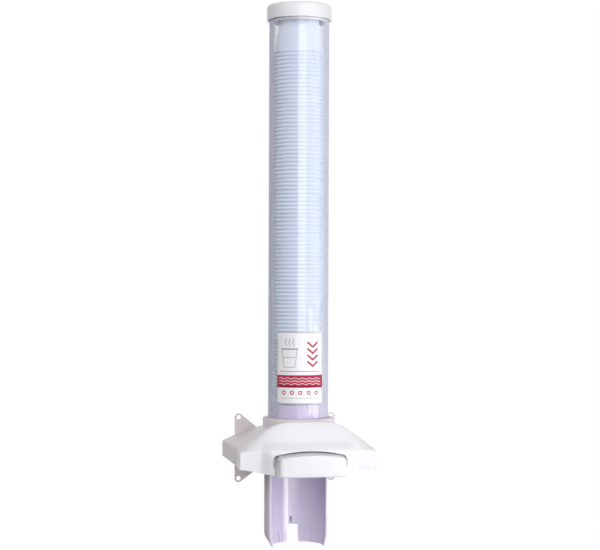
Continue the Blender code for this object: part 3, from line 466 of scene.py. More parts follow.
def hollow_post(bm, x, z, radii, start, end):
    """Adds a tube along Y from one depth to another. new_object merges its first and last loops."""
    outer, inner = radii
    loops = []
    for radius, y in ((inner, start), (outer, start), (outer, end), (inner, end), (inner, start)):
        loops.append([(a, y, b) for a, b in full_circle((x, z), radius, 24)])
    bridge(bm, loops, close=True)


def add_piece(bm, piece):
    """Adds one bmesh to another and frees it."""
    mesh = bpy.data.meshes.new("piece")
    piece.to_mesh(mesh)
    piece.free()
    bm.from_mesh(mesh)
    bpy.data.meshes.remove(mesh)


def lengths_along(points):
    """How far along a line each of its points stands."""
    lengths = [0.0]
    for one, other in zip(points, points[1:]):
        lengths.append(lengths[-1] + (other - one).length)
    return lengths


def softened(line, stations, reach):
    """Points on a line at given lengths, each averaged over the reach to both sides to round corners."""
    points = [Vector(point) for point in line]
    lengths = lengths_along(points)

    def at(length):
        for i in range(len(points) - 1):
            if length <= lengths[i + 1] or i == len(points) - 2:
                span = lengths[i + 1] - lengths[i]
                share = (length - lengths[i]) / span if span > 1e-9 else 0.0
                return points[i].lerp(points[i + 1], min(1.0, max(0.0, share)))

    found = []
    for station in stations:
        half = min(reach, station, lengths[-1] - station)
        samples = [at(station + half * k / 4) for k in range(-4, 5)]
        found.append(sum(samples, Vector()) / len(samples))
    return found


def spread(stops, counts):
    """Values from the first stop to the last, with a count of even steps between each two."""
    values = []
    for start, end, count in zip(stops, stops[1:], counts):
        values += [start + (end - start) * i / count for i in range(count)]
    return values + [stops[-1]]


def along(points, steps, reach=0.0):
    """Evenly spaced points along a flat line, with both its ends."""
    line = [Vector((x, z, 0.0)) for x, z in points]
    total = lengths_along(line)[-1]
    evenly = softened(line, [total * i / steps for i in range(steps + 1)], reach)
    return [(point.x, point.y) for point in evenly]


def smooth_step(value, low, high):
    share = min(1.0, max(0.0, (value - low) / (high - low)))
    return share * share * (3.0 - 2.0 * share)


def mirror_copy(points):
    """The points and, past the last one, their mirror images in X in reverse order."""
    return list(points) + [(-x, *rest) for x, *rest in reversed(points) if abs(x) > 1e-9]


def boolean(target, operation, bm):
    """Joins a solid to an object or cuts it away, and applies the result at once."""
    tool = new_object("tool", bm, target.data.materials[0])
    tool.location = target.location
    step = target.modifiers.new("step", "BOOLEAN")
    step.operation = operation
    step.solver = "EXACT"
    step.object = tool
    graph = bpy.context.evaluated_depsgraph_get()
    result = bpy.data.meshes.new_from_object(target.evaluated_get(graph))
    target.modifiers.remove(step)
    target.data = result
    bpy.data.objects.remove(tool, do_unlink=True)


def soft_edges(obj, width, degrees=50.0):
    edge = obj.modifiers.new("soft_edges", "BEVEL")
    edge.width = width
    edge.segments = 2
    edge.limit_method = "ANGLE"
    edge.angle_limit = math.radians(degrees)
    edge.harden_normals = True


def wall(obj, thickness):
    """Gives an open skin a wall of one thickness on its inner side."""
    step = obj.modifiers.new("wall", "SOLIDIFY")
    step.thickness = thickness
    step.offset = -1.0
    step.use_quality_normals = True


def film(obj, thickness):
    """Gives a printed layer its thickness, outwards, and its place on the root body."""
    sheet = obj.modifiers.new("film", "SOLIDIFY")
    sheet.thickness = thickness
    sheet.offset = 1.0
    stands_for(obj, "root", "cover_plastic")


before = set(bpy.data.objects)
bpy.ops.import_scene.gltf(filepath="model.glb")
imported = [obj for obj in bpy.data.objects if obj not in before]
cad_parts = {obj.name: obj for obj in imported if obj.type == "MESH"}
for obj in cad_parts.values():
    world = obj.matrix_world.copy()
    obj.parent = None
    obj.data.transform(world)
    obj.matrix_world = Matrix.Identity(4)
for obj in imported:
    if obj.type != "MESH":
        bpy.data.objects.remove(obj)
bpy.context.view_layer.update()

tube_low, tube_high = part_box("magazine_tube")
AXIS = (tube_low + tube_high) / 2
TUBE_R = (tube_high.x - tube_low.x) / 2
TUBE_BORE_R = TUBE_R - TUBE_WALL
# The wall plane, as seen from the tube's axis.
WALL_Y = -AXIS.y

white = plastic("moulded_white", srgb(243, 242, 246), 0.3, grain=0.05, grain_scale=2500.0)
housing_white = plastic("textured_white", srgb(236, 228, 231), 0.45, grain=0.2, grain_scale=1800.0)
chute_white = plastic(
    "translucent_white",
    srgb(218, 209, 235),
    0.55,
    Specular_IOR_Level=1.0,
    Coat_Weight=1.0,
    Coat_Roughness=0.1,
    Coat_IOR=1.7,
)
sleeve_white = plastic("sleeve_white", srgb(222, 212, 238), 0.6, Specular_IOR_Level=0.3)
fin_white = plastic("matt_white", srgb(238, 228, 238), 0.6, grain=0.1, Specular_IOR_Level=0.3)
inner_grey = plastic("inner_plastic", srgb(222, 223, 228), 0.45, grain=0.1)
cup_blue = plastic(
    "cup_plastic", srgb(236, 244, 255), 0.4, mottle=0.0, Specular_IOR_Level=0.15, Diffuse_Roughness=1.0
)
steel = metal("zinc_steel", srgb(200, 202, 206), 0.3)
spring_steel = metal("spring_steel", srgb(176, 178, 184), 0.22)
clear = clear_plastic("clear_tube")
label_white = plastic("label_white", srgb(250, 249, 252), 0.35, mottle=0.005)
label_red = plastic("label_red", srgb(186, 24, 66), 0.35)
label_grey = plastic("label_grey", srgb(168, 168, 180), 0.4)
label_pale = plastic("label_pale", srgb(244, 214, 222), 0.4, mottle=0.01)


def cup_profile(z):
    """A cup's closed wall line: rolled rim, tapered side, rounded shoulder, base set in."""
    low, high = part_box("cup_top")
    rim_r = (high.x - low.x) / 2
    top = z + high.z - low.z
    mouth = rim_r - CUP_MOUTH_INSET
    shoulder = mouth - CUP_DRAW
    base = shoulder - 0.6 * MM
    base_z = top - 0.7 * MM
    side = [
        (mouth, z + 2.5 * MM),
        (mouth - 1.2 * MM, z + 9 * MM),
        (shoulder + 3.2 * MM, z + 21 * MM),
        (shoulder + 1.1 * MM, z + 33 * MM),
    ]
    outer = arc((rim_r - CUP_BEAD, z + CUP_BEAD), CUP_BEAD, -110, 75, 6) + side
    outer += [
        (shoulder, top - 1.2 * MM),
        (base + 0.2 * MM, top - 0.3 * MM),
        (base - 0.6 * MM, top),
        (base - 2.2 * MM, top),
        (base - 2.8 * MM, base_z),
        (0.0, base_z),
    ]
    inner = [
        (0.0, base_z - CUP_WALL),
        (base - 2.6 * MM, base_z - CUP_WALL),
        (base - 1.4 * MM, top - CUP_WALL),
        (shoulder - CUP_WALL, top - 1.4 * MM),
    ]
    inner += [(radius - CUP_WALL, height) for radius, height in reversed(side)]
    return outer + inner + [(mouth - CUP_WALL + 0.2 * MM, z + 0.9 * MM)]


def make_cups():
    """Every cup of the column as its own thin wall. The one on top shows its ribs."""
    low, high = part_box("cup_top")
    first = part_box("cup_ready")[0].z
    pitch = (low.z - first) / (CUP_COUNT - 1)

    def ribs(angle, level):
        start, end = CUP_RIB_SPAN
        up = (level - low.z) / (high.z - low.z)
        share = max(0.0, min(1.0, (up - start) * CUP_RIB_FADE)) * (up < end)
        return -CUP_RIB_DEPTH * share * (0.5 + 0.5 * math.cos(CUP_RIBS * angle))

    pieces = (
        ("cup_shell_ready", "cup_ready", [1]),
        ("cup_shell_waiting", "cup_waiting", [2]),
        ("cup_shell_top", "cup_top", [CUP_COUNT]),
        ("cup_column", "cup_stack", range(3, CUP_COUNT)),
    )
    for name, node, numbers in pieces:
        bm = bmesh.new()
        for number in numbers:
            line = cup_profile(first + (number - 1) * pitch)
            if number == CUP_COUNT:
                turned(line, CUP_SIDES * 4, AXIS, ribs, bm)
            else:
                turned(line, CUP_SIDES, AXIS, None, bm)
        stands_for(new_object(name, bm, cup_blue), "root", "cup_plastic", node)


def make_tube():
    line = rectangle(TUBE_R, TUBE_BORE_R, tube_low.z, tube_high.z)
    tube = new_object("clear_tube", turned(rounded(line, 0.25 * MM), 128, AXIS), clear)
    stands_for(tube, "root", "clear_plastic", "magazine_tube")


def make_cap():
    low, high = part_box("tube_cap")
    outer = (high.x - low.x) / 2
    skirt = low.z + CAP_SKIRT_RISE
    lip = TUBE_BORE_R - CAP_CLEARANCE
    lip_z = low.z + 0.1 * MM
    under = high.z - CAP_TOP
    groove = tube_high.z + 0.4 * MM
    line = [(outer, skirt), (outer, high.z - 3.0 * MM)]
    line += arc((outer - CAP_CORNER, high.z - CAP_CORNER), CAP_CORNER, 20, 90, 5)
    line += [(6.0 * MM, high.z), (3.2 * MM, high.z - 0.25 * MM), (0.0, high.z - 0.3 * MM), (0.0, under)]
    line += [(lip - CAP_LIP_WALL, under), (lip - CAP_LIP_WALL, lip_z), (lip, lip_z), (lip, groove)]
    line += [(outer - CAP_WALL, groove), (outer - CAP_WALL, skirt)]
    cap = new_object("slip_cap", turned(rounded(line, 0.35 * MM, 2), 96, AXIS), white)
    stands_for(cap, "cap", "cover_plastic", "tube_cap")


def make_sleeve():
    low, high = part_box("guide_sleeve")
    rim_r = (high.x - low.x) / 2
    rim_z = low.z + SLEEVE_FLANGE
    bore = SLEEVE_R - SLEEVE_WALL
    line = [(bore, low.z), (rim_r, low.z), (rim_r, rim_z)]
    line += [(SLEEVE_R, rim_z), (SLEEVE_R, high.z), (bore, high.z)]
    sleeve = new_object("centring_sleeve", turned(rounded(line, 0.3 * MM, 2), 96, AXIS), sleeve_white)
    stands_for(sleeve, "root", "chute_plastic", "guide_sleeve")


def tube_patch(name, finish, turns, heights, lift, steps=24, corner=0.0):
    """A thin printed patch that follows the tube, between two angles and two heights."""
    radius = TUBE_R + lift
    width = math.radians(turns[1] - turns[0]) * radius
    height = heights[1] - heights[0]
    rows = max(2, int(height / (1.2 * MM))) if corner else 2
    loops = []
    for j in range(rows + 1):
        v = height * j / rows
        edge = min(v, height - v)
        inset = 0.0
        if corner and edge < corner:
            inset = corner - math.sqrt(max(0.0, corner**2 - (corner - edge) ** 2))
        loop = []
        for i in range(steps + 1):
            u = inset + (width - 2 * inset) * i / steps
            angle = math.radians(turns[0] - 90.0) + u / radius
            loop.append(round_point(AXIS, radius, angle, heights[0] + v))
        loops.append(loop)
    bm = bmesh.new()
    bridge(bm, loops)
    film(new_object(name, bm, finish), FILM)


def stroke(points, width, closed=False):
    """The flat outline pieces of a line of one width, mitred at its corners. Takes millimetres."""
    points = [Vector((u * MM, v * MM)) for u, v in points]
    count = len(points)
    sides = []
    for i, here in enumerate(points):
        before = points[i - 1] if closed or i else here
        after = points[(i + 1) % count] if closed or i < count - 1 else here
        one = (here - before).normalized() if here != before else (after - here).normalized()
        other = (after - here).normalized() if here != after else one
        run = (one + other).normalized()
        reach = width * MM / 2 / max(0.4, run.dot(one))
        across = Vector((-run.y, run.x)) * reach
        sides.append((here + across, here - across))
    pairs = list(zip(sides, sides[1:] + sides[:1]))
    return [(a, b, d, c) for (a, b), (c, d) in (pairs if closed else pairs[:-1])]


def bar(middle, reach, v, width):
    return stroke([(middle - reach, v), (middle + reach, v)], width)


def printed(name, finish, shapes, layer):
    """Flat shapes, in lengths across and up from the middle of the label's lower edge, wrapped on it."""
    bm = bmesh.new()
    for shape in shapes:
        bm.faces.new([bm.verts.new((u, v, 0.0)) for u, v in shape])
    reach = max(abs(vert.co.x) for vert in bm.verts)
    for i in range(int(2 * reach / PRINT_STEP) + 1):
        everything = bm.verts[:] + bm.edges[:] + bm.faces[:]
        at = (i * PRINT_STEP - reach, 0.0, 0.0)
        bmesh.ops.bisect_plane(bm, geom=everything, plane_co=at, plane_no=(1.0, 0.0, 0.0))
    radius = TUBE_R + STICKER_LIFT + layer * PRINT_LIFT
    for vert in bm.verts:
        angle = math.radians(STICKER_TURN - 90.0) + vert.co.x / radius
        vert.co = round_point(AXIS, radius, angle, STICKER_Z[0] + vert.co.y)
    film(new_object(name, bm, finish, merge=1e-7), INK)


def make_sticker():
    """A printed label without words: a steaming cup, chevrons that point down and a crimson band."""
    left = STICKER_TURN - STICKER_HALF_ANGLE
    right = STICKER_TURN + STICKER_HALF_ANGLE
    low, high = STICKER_Z
    tube_patch("sticker", label_white, (left, right), (low, high), STICKER_LIFT, 40, STICKER_CORNER)
    band = (low + BAND[0], low + BAND[1])
    tube_patch("sticker_band", label_red, (left + 0.6, right - 0.6), band, STICKER_LIFT + BAND_LIFT)

    grey = stroke([(ART_CUP_U + u, v) for u, v in ART_CUP], 0.55, True)
    for reach, v, width in ART_CUP_BARS:
        grey += bar(ART_CUP_U, reach, v, width)
    for offset in ART_WISPS:
        wisp = []
        for i in range(13):
            wisp.append((ART_CUP_U + offset + 0.8 * math.sin(i * math.pi / 4), 53.8 + i * 0.6))
        grey += stroke(wisp, 0.6)
    for i in range(11):
        grey += bar((i - 5) * 3.6, 1.0, 5.0, 0.7)
    printed("sticker_grey_print", label_grey, grey, 2)

    red = []
    for top in ART_CHEVRON_TOPS:
        red += stroke([(u, top + v) for u, v in ART_CHEVRON], 1.7)
    for i in range(5):
        red += stroke(full_circle(((i - 2) * 8.0, 10.2), 1.5, 24), 0.9, True)
    red += bar(0.0, 20.0, 30.2, 0.5)
    printed("sticker_red_print", label_red, red, 2)

    pale = []
    for v in ART_WAVES:
        pale += stroke([(u, v + 0.6 * math.sin(u * 0.9)) for u in range(-21, 22)], 0.75)
    printed("sticker_pale_print", label_pale, pale, 5)


def at_axis(obj):
    """Moves an object that was drawn round the tube's axis to where that axis stands."""
    obj.location = (AXIS.x, AXIS.y, 0.0)
    return obj


def arch_z(x):
    """Height of the cover's top edge: straight flanks, rounded shoulders and a flat crown."""
    x = abs(x)
    drop = ARCH_SHOULDER_X - ARCH_FLAT_X
    slope = (ARCH_TOP_Z - COVER_WING_Z) / (COVER_HALF_WIDTH - ARCH_SHOULDER_X + drop / 2)
    if x <= ARCH_FLAT_X:
        return ARCH_TOP_Z
    if x <= ARCH_SHOULDER_X:
        return ARCH_TOP_Z - slope * (x - ARCH_FLAT_X) ** 2 / (2 * drop)
    return COVER_WING_Z + slope * (COVER_HALF_WIDTH - x)


def face_point(x, z):
    """A point on the cover's face: the upright band and, above it, the face that leans to the top edge."""
    share = x / COVER_HALF_WIDTH
    y = COVER_CORNER_Y - COVER_BOW * (1.0 - share * share)
    if z > COVER_WING_Z:
        down = min(1.0, (arch_z(x) - z) / max(arch_z(x) - COVER_WING_Z, 1e-6))
        y = COVER_TOP_Y + (y - COVER_TOP_Y) * down * (1.0 + FACE_BULGE * (1.0 - down))
    return (x, y - hood_bulge(x, z), z)


def hood_bulge(x, z):
    across = 1.0 - smooth_step(abs(x), HOOD_INNER_X, HOOD_OUTER_X)
    return HOOD_BULGE * across * (1.0 - smooth_step(z, MOUTH_TOP_Z, HOOD_TOP_Z))


def bottom_z(x):
    rise = smooth_step(abs(x), HOOD_INNER_X, COVER_HALF_WIDTH)
    return COVER_HOOD_BOTTOM_Z + (COVER_BOTTOM_Z - COVER_HOOD_BOTTOM_Z) * rise


def cover_edges():
    """The cover's outer edge and, in step with it, its bottom and mouth edge, from end to centre."""
    wing_top = COVER_WING_Z - 0.2 * MM
    last = [
        (COVER_HALF_WIDTH, COVER_BOTTOM_Z),
        (COVER_HALF_WIDTH, wing_top - COVER_END_CORNER),
        (COVER_HALF_WIDTH - 0.25 * MM, wing_top - 0.5 * MM),
    ]
    xs = [COVER_HALF_WIDTH - 0.9 * MM - i * EDGE_STEP for i in range(200)]
    tops = []
    for start, end in zip(EDGE_SPLITS, EDGE_SPLITS[1:]):
        tops.append(last + [(x, arch_z(x)) for x in xs if end < x <= start])
        last = tops[-1][-1:]
    tops[-1].append((0.0, ARCH_TOP_Z))

    inner_x = MOUTH_HALF_WIDTH - MOUTH_CORNER
    bottom = [(x, bottom_z(x)) for x in spread((COVER_HALF_WIDTH, MOUTH_LIP_X), (40,))]
    turn = arc((inner_x, MOUTH_TURN_Z), MOUTH_CORNER, 0, 80, 10)
    side = [bottom[-1]]
    for z in spread(MOUTH_LIP_Z, (12,)):
        out = smooth_step(z, *MOUTH_LIP_Z)
        side.append((MOUTH_LIP_X + (MOUTH_HALF_WIDTH - MOUTH_LIP_X) * out, z))
    side.append(turn[0])
    roof = [turn[-1]]
    roof += [(inner_x * k / 12, MOUTH_TOP_Z - MOUTH_SAG * (k / 12) ** 2) for k in range(11, -1, -1)]

    outer = []
    inner = []
    for top_line, low_line, steps in zip(tops, (bottom, side, turn, roof), EDGE_STEPS):
        skip = 1 if outer else 0
        outer += along(top_line, steps)[skip:]
        inner += along(low_line, steps)[skip:]
    return outer, inner


def cover_column(top, low):
    """The cover's skin from its rear flange over the top edge and down the face to the lower edge."""
    line = [Vector((top[0], COVER_BACK_Y, top[1])), Vector((top[0], COVER_TOP_Y, top[1]))]
    shares = spread((0.0, 1.0), (FACE_STEPS,))[1:]
    if top[1] <= COVER_WING_Z:
        crease = top
        line += [line[-1].lerp(Vector(face_point(*top)), share) for share in shares]
    else:
        crease_z = max(COVER_WING_Z, low[1] + CREASE_GAP)
        aim = max(low[0], MOUTH_HALF_WIDTH) if low[1] < MOUTH_TURN_Z else low[0]
        down = (top[1] - crease_z) / (top[1] - low[1])
        crease = (top[0] + (aim - top[0]) * down, crease_z)
        for share in shares:
            x = top[0] + (crease[0] - top[0]) * share
            line.append(Vector(face_point(x, top[1] + (crease[1] - top[1]) * share)))
    bend = MOUTH_BEND + (1.0 - MOUTH_BEND) * smooth_step(low[0], MOUTH_HALF_WIDTH, HOOD_OUTER_X)
    for share in spread((0.0, 1.0), (BAND_STEPS,))[1:]:
        x = low[0] + (crease[0] - low[0]) * (1.0 - share) ** bend
        line.append(Vector(face_point(x, crease[1] + (low[1] - crease[1]) * share)))

    lengths = lengths_along(line)
    edge = lengths[1]
    fold = lengths[1 + FACE_STEPS]
    end = lengths[-1]
    near = min(COVER_SOFTNESS, (fold - edge) / 2)
    last = min(near, (end - fold) / 2)
    stops = (0.0, edge - near, edge + near, fold - near, fold + last, end)
    return softened(line, spread(stops, (3, 8, 12, 6, 9)), COVER_SOFTNESS)


def make_cover():
    """Arched front moulding: a skin between its two edge lines, given its wall. Screw bosses and two
    bent ribs, which close the view past the button's sides, stand behind it."""
    columns = [cover_column(top, low) for top, low in zip(*cover_edges())]
    columns += [[Vector((-p.x, p.y, p.z)) for p in column] for column in columns[-2::-1]]
    bm = bmesh.new()
    bridge(bm, columns)
    cover = at_axis(new_object("arched_cover", bm, white, 60.0, merge=2e-5))
    wall(cover, WALL)
    soft_edges(cover, 0.35 * MM, 60.0)
    stands_for(cover, "root", "cover_plastic", "front_cover")
    x, z = COVER_BOSS
    bm = bmesh.new()
    for side in (-1, 1):
        ends = (COVER_BACK_Y - COVER_BOSS_LENGTH, COVER_BACK_Y)
        hollow_post(bm, side * x, z, (COVER_BOSS_R, BOSS_BORE_R), *ends)
        add_piece(bm, prism([(side * a, b) for a, b in SHIELD], "Z", *SHIELD_Z))
    bosses = at_axis(new_object("cover_bosses", bm, white))
    soft_edges(bosses, 0.25 * MM)
    stands_for(bosses, "root", "cover_plastic")


def make_button():
    """Push button: arched top, bowed front and rounded ends, open at the back, on two screw bosses."""
    straight = BUTTON_HALF_WIDTH - BUTTON_CORNER
    xs = [straight + BUTTON_CORNER * math.sin(math.radians(a)) for a in BUTTON_END_ANGLES]
    xs += spread((straight, 0.0), (18,))
    columns = []
    for x in xs + [-x for x in xs[-2::-1]]:
        share = abs(x) / BUTTON_HALF_WIDTH
        corner = max(0.0, abs(x) - straight)
        rounding = BUTTON_CORNER - math.sqrt(max(0.0, BUTTON_CORNER**2 - corner**2))
        top = BUTTON_TOP_Z - BUTTON_SAG * share * share - rounding * 0.8
        front = BUTTON_FRONT_Y + BUTTON_BOW * share * share + rounding * 0.35
        lip = top - BUTTON_SLOPE
        line = [(x, BUTTON_BACK_Y, top), (x, BUTTON_SLOPE_Y, top), (x, front, lip)]
        line += [(x, front, BUTTON_BOTTOM_Z), (x, BUTTON_BACK_Y, BUTTON_BOTTOM_Z)]
        soft = BUTTON_SOFTNESS
        edge = BUTTON_BACK_Y - BUTTON_SLOPE_Y + math.hypot(BUTTON_SLOPE_Y - front, BUTTON_SLOPE)
        foot = edge + lip - BUTTON_BOTTOM_Z
        stops = (0.0, edge - soft, edge + soft, foot - soft, foot + soft, foot + BUTTON_BACK_Y - front)
        columns.append(softened(line, spread(stops, (8,) * 5), soft))
    button = at_axis(new_object("button_cap", solid(columns, close=False), white, 40.0))
    wall(button, BUTTON_WALL)
    soft_edges(button, 0.3 * MM, 60.0)
    stands_for(button, "button", "cover_plastic", "push_button")
    x, z = BUTTON_BOSS
    bm = bmesh.new()
    for side in (-1, 1):
        hollow_post(bm, side * x, z, (BUTTON_BOSS_R, BOSS_BORE_R), BUTTON_FRONT_Y + 2 * MM, BUTTON_BACK_Y)
    stands_for(at_axis(new_object("button_bosses", bm, white)), "button", "cover_plastic")


def roof_line(share):
    """The roof's outer half outline from its foot to the centre, at a share of the way to the wall."""
    points = []
    for front_x, (back_x, back_z) in zip(ROOF_FRONT_XS, ROOF_BACK):
        front_z = arch_z(front_x) - ROOF_STEP
        points.append((front_x + (back_x - front_x) * share, front_z + (back_z - front_z) * share))
    return points


def housing_loop(share, filled=False):
    """One upside-down U of the housing, or the whole shape under the middle of its wall, at a share of the
    way from its front to the wall plane."""
    y = HOUSING_FRONT_Y + (WALL_Y - WALL / 2 - HOUSING_FRONT_Y) * share
    bottom = HOUSING_BOTTOM_Z[0] + (HOUSING_BOTTOM_Z[1] - HOUSING_BOTTOM_Z[0]) * share
    outer = along([(HOUSING_HALF_WIDTH, bottom)] + roof_line(share), ROOF_STEPS, ROOF_SOFTNESS)
    inner = []
    for i, point in enumerate(outer):
        run = (Vector(outer[min(ROOF_STEPS, i + 1)]) - Vector(outer[max(0, i - 1)])).normalized()
        shifted = Vector(point) + Vector((-run.y, run.x)) * WALL
        inner.append((max(0.0, shifted.x) if i < ROOF_STEPS else 0.0, shifted.y))
    inner[0] = (HOUSING_HALF_WIDTH - WALL, bottom)
    if filled:
        line = mirror_copy([((a + c) / 2, (b + d) / 2) for (a, b), (c, d) in zip(outer, inner)])
    else:
        line = mirror_copy(outer) + mirror_copy(inner)[::-1]
    return [(x, y, z) for x, z in line]


def plate_outline():
    """The plate on the wall: a low trapezium with an ear above and below at each side."""
    eaves, flank, shoulder, brow, crown = ROOF_BACK
    ear_x, ear_z = EAR_HOLE
    side = HOUSING_HALF_WIDTH - MM
    foot = (shoulder[0] - EAR_FOOT_X) / (shoulder[0] - brow[0])
    foot_z = shoulder[1] + (brow[1] - shoulder[1]) * foot
    right = [(x, z - MM) for x, z in (crown, brow, (EAR_FOOT_X, foot_z))]
    right += arc((ear_x, ear_z), EAR_TIP_R, 132, 0, 16)
    right += [(flank[0], flank[1] - MM), (side, eaves[1] - MM)]
    right += [(side, HOUSING_BOTTOM_Z[1]), (flank[0], HOUSING_BOTTOM_Z[1])]
    right += arc((ear_x, -ear_z), EAR_TIP_R, 0, -142, 16)
    return mirror_copy(right + [EAR_KEEL, (0.0, EAR_KEEL[1])])


def make_housing():
    shares = spread((0.0, 1.0), (12,))
    shell = solid([housing_loop(share) for share in shares])
    housing = at_axis(new_object("housing_shell", shell, housing_white, 40.0))
    low, high = COLLAR_Z
    line = [(0.0, low), (COLLAR_R, low)]
    line += arc((COLLAR_R - COLLAR_SOFTNESS, high - COLLAR_SOFTNESS), COLLAR_SOFTNESS, 0, 90, 5)
    boolean(housing, "UNION", turned(line + [(0.0, high)], 128))
    for side in (-1, 1):
        for y in POST_YS:
            column = turned(rectangle(0.0, POST_R, *POST_Z), 32, Vector((side * POST_X, y, 0.0)))
            post = new_object("post", column, housing_white)
            boolean(post, "INTERSECT", solid([housing_loop(share, True) for share in shares]))
            bm = bmesh.new()
            bm.from_mesh(post.data)
            bpy.data.objects.remove(post, do_unlink=True)
            boolean(housing, "UNION", bm)
    bore_r = TUBE_R + TUBE_CLEARANCE
    shelf = tube_low.z - TUBE_CLEARANCE
    top = high + 0.4 * MM
    line = [(0.0, low - MM), (BORE_STEP_R, low - MM), (BORE_STEP_R, shelf), (bore_r, shelf)]
    line += [(bore_r, high - 0.6 * MM), (bore_r + 0.9 * MM, top), (0.0, top)]
    boolean(housing, "DIFFERENCE", turned(line, 128))
    stands_for(housing, "root", "housing_plastic", "rear_housing")

    flat = prism(plate_outline(), "Y", WALL_Y - WALL, WALL_Y)
    plate = at_axis(new_object("wall_plate", flat, housing_white))
    for side in (-1, 1):
        for z in (-EAR_HOLE[1], EAR_HOLE[1]):
            hole = full_circle((side * EAR_HOLE[0], z), EAR_HOLE_R, 32)
            boolean(plate, "DIFFERENCE", prism(hole, "Y", WALL_Y - 2 * WALL, WALL_Y + WALL))
    soft_edges(plate, 0.35 * MM)
    stands_for(plate, "root", "housing_plastic")

    bm = bmesh.new()
    for side in (-1, 1):
        xs = sorted((side * TAB_X, side * (HOUSING_HALF_WIDTH - WALL / 2)))
        ys = (HOUSING_FRONT_Y + 0.05 * MM, HOUSING_FRONT_Y + WALL)
        add_piece(bm, prism(rectangle(*xs, *TAB_Z), "Y", *ys))
    tabs = at_axis(new_object("cover_tabs", bm, housing_white))
    soft_edges(tabs, 0.3 * MM)
    stands_for(tabs, "root", "housing_plastic")


def chute_inset(z):
    """How far the chute has drawn in at a height near its lower end."""
    low, taper, _ = CHUTE_Z
    share = (z - low) / (taper - low)
    whole = 1.0 - smooth_step(0.0, TAPER_EASE, 1.0)
    return CHUTE_TAPER * (1.0 - smooth_step(share, TAPER_EASE, 1.0)) / whole


def chute_loop(z):
    """The chute's open half ring at one height, with its two front edges rounded."""
    half = CHUTE_WALL / 2
    middle = CHUTE_INNER_R + half - chute_inset(z)
    front = CHUTE_FRONT_Y + half
    ring = [(middle + half, front)]
    ring += arc((0.0, 0.0), middle + half, 0, 180, 72)
    ring += arc((-middle, front), half, 180, 360, 8)
    ring += arc((0.0, 0.0), middle - half, 180, 0, 72)
    ring += arc((middle, front), half, 180, 352, 8)[:-1]
    return [(x, y, z) for x, y in ring]


def make_chute():
    low, taper, top = CHUTE_Z
    outer = CHUTE_INNER_R + CHUTE_WALL
    shell = solid([chute_loop(z) for z in spread(CHUTE_Z, (8, 6))])
    chute = at_axis(new_object("chute_shell", shell, chute_white, 40.0))
    slot = rectangle(-SLOT_HALF_WIDTH, SLOT_HALF_WIDTH, low - MM, SLOT_TOP_Z)
    notch = rectangle(*NOTCH_X, SLOT_TOP_Z - MM, NOTCH_TOP_Z)
    across = (CHUTE_INNER_R - CUT_REACH, CHUTE_INNER_R + CUT_REACH)
    for outline in (slot, notch):
        boolean(chute, "DIFFERENCE", prism(outline, "Y", *across))
    for angle in (180.0 - SLIT_ANGLE, SLIT_ANGLE):
        slit = prism(rectangle(*across, -SLIT_WIDTH / 2, SLIT_WIDTH / 2), "Z", low - MM, SLIT_TOP_Z)
        turn = Matrix.Rotation(math.radians(angle), 3, "Z")
        bmesh.ops.rotate(slit, verts=slit.verts, matrix=turn)
        boolean(chute, "DIFFERENCE", slit)
    soft_edges(chute, 0.2 * MM, 70.0)
    stands_for(chute, "root", "chute_plastic", "cup_chute")

    xs = (NOTCH_X[0] - POCKET_WALL, NOTCH_X[1] + POCKET_WALL)
    ys = (outer - CHUTE_WALL / 2, outer + POCKET_DEPTH)
    zs = (SLOT_TOP_Z + 0.4 * MM, NOTCH_TOP_Z + POCKET_WALL)
    pocket = at_axis(new_object("notch_pocket", prism(rectangle(*xs, *zs), "Y", *ys), chute_white))
    hollow = rectangle(*NOTCH_X, zs[0] - MM, NOTCH_TOP_Z)
    boolean(pocket, "DIFFERENCE", prism(hollow, "Y", ys[0] - MM, ys[1] - POCKET_WALL))
    stands_for(pocket, "root", "chute_plastic")

    foot, ankle = FIN_BOTTOM_Z
    front = CHUTE_FRONT_Y + FIN_FRONT_INSET
    for side, word in ((-1, "left"), (1, "right")):
        loops = []
        for z in spread((foot, taper, top - MM), (8, 1)):
            share = min(1.0, max(0.0, (z - foot) / (ankle - foot)))
            back = FIN_FOOT_Y + (FIN_BACK_Y - FIN_FOOT_Y) * share
            xs = (outer - 0.02 * MM - chute_inset(z), outer - FIN_WALL - chute_inset(z))
            loops.append([(side * x, y, z) for x, y in rectangle(*xs, front, back)])
        fin = at_axis(new_object("chute_fin_" + word, solid(loops), fin_white))
        soft_edges(fin, 0.35 * MM)
        stands_for(fin, "root", "chute_plastic")

    front = FLANGE[0][1]
    line = mirror_copy(FLANGE) + [(-outer + MM, front)]
    line += arc((0.0, 0.0), outer - MM, 180, 0, 48) + [(outer - MM, front)]
    flat = prism(line, "Z", top - 2 * MM, top - 0.1 * MM)
    flange = at_axis(new_object("chute_flange", flat, chute_white))
    soft_edges(flange, 0.2 * MM)
    stands_for(flange, "root", "chute_plastic")


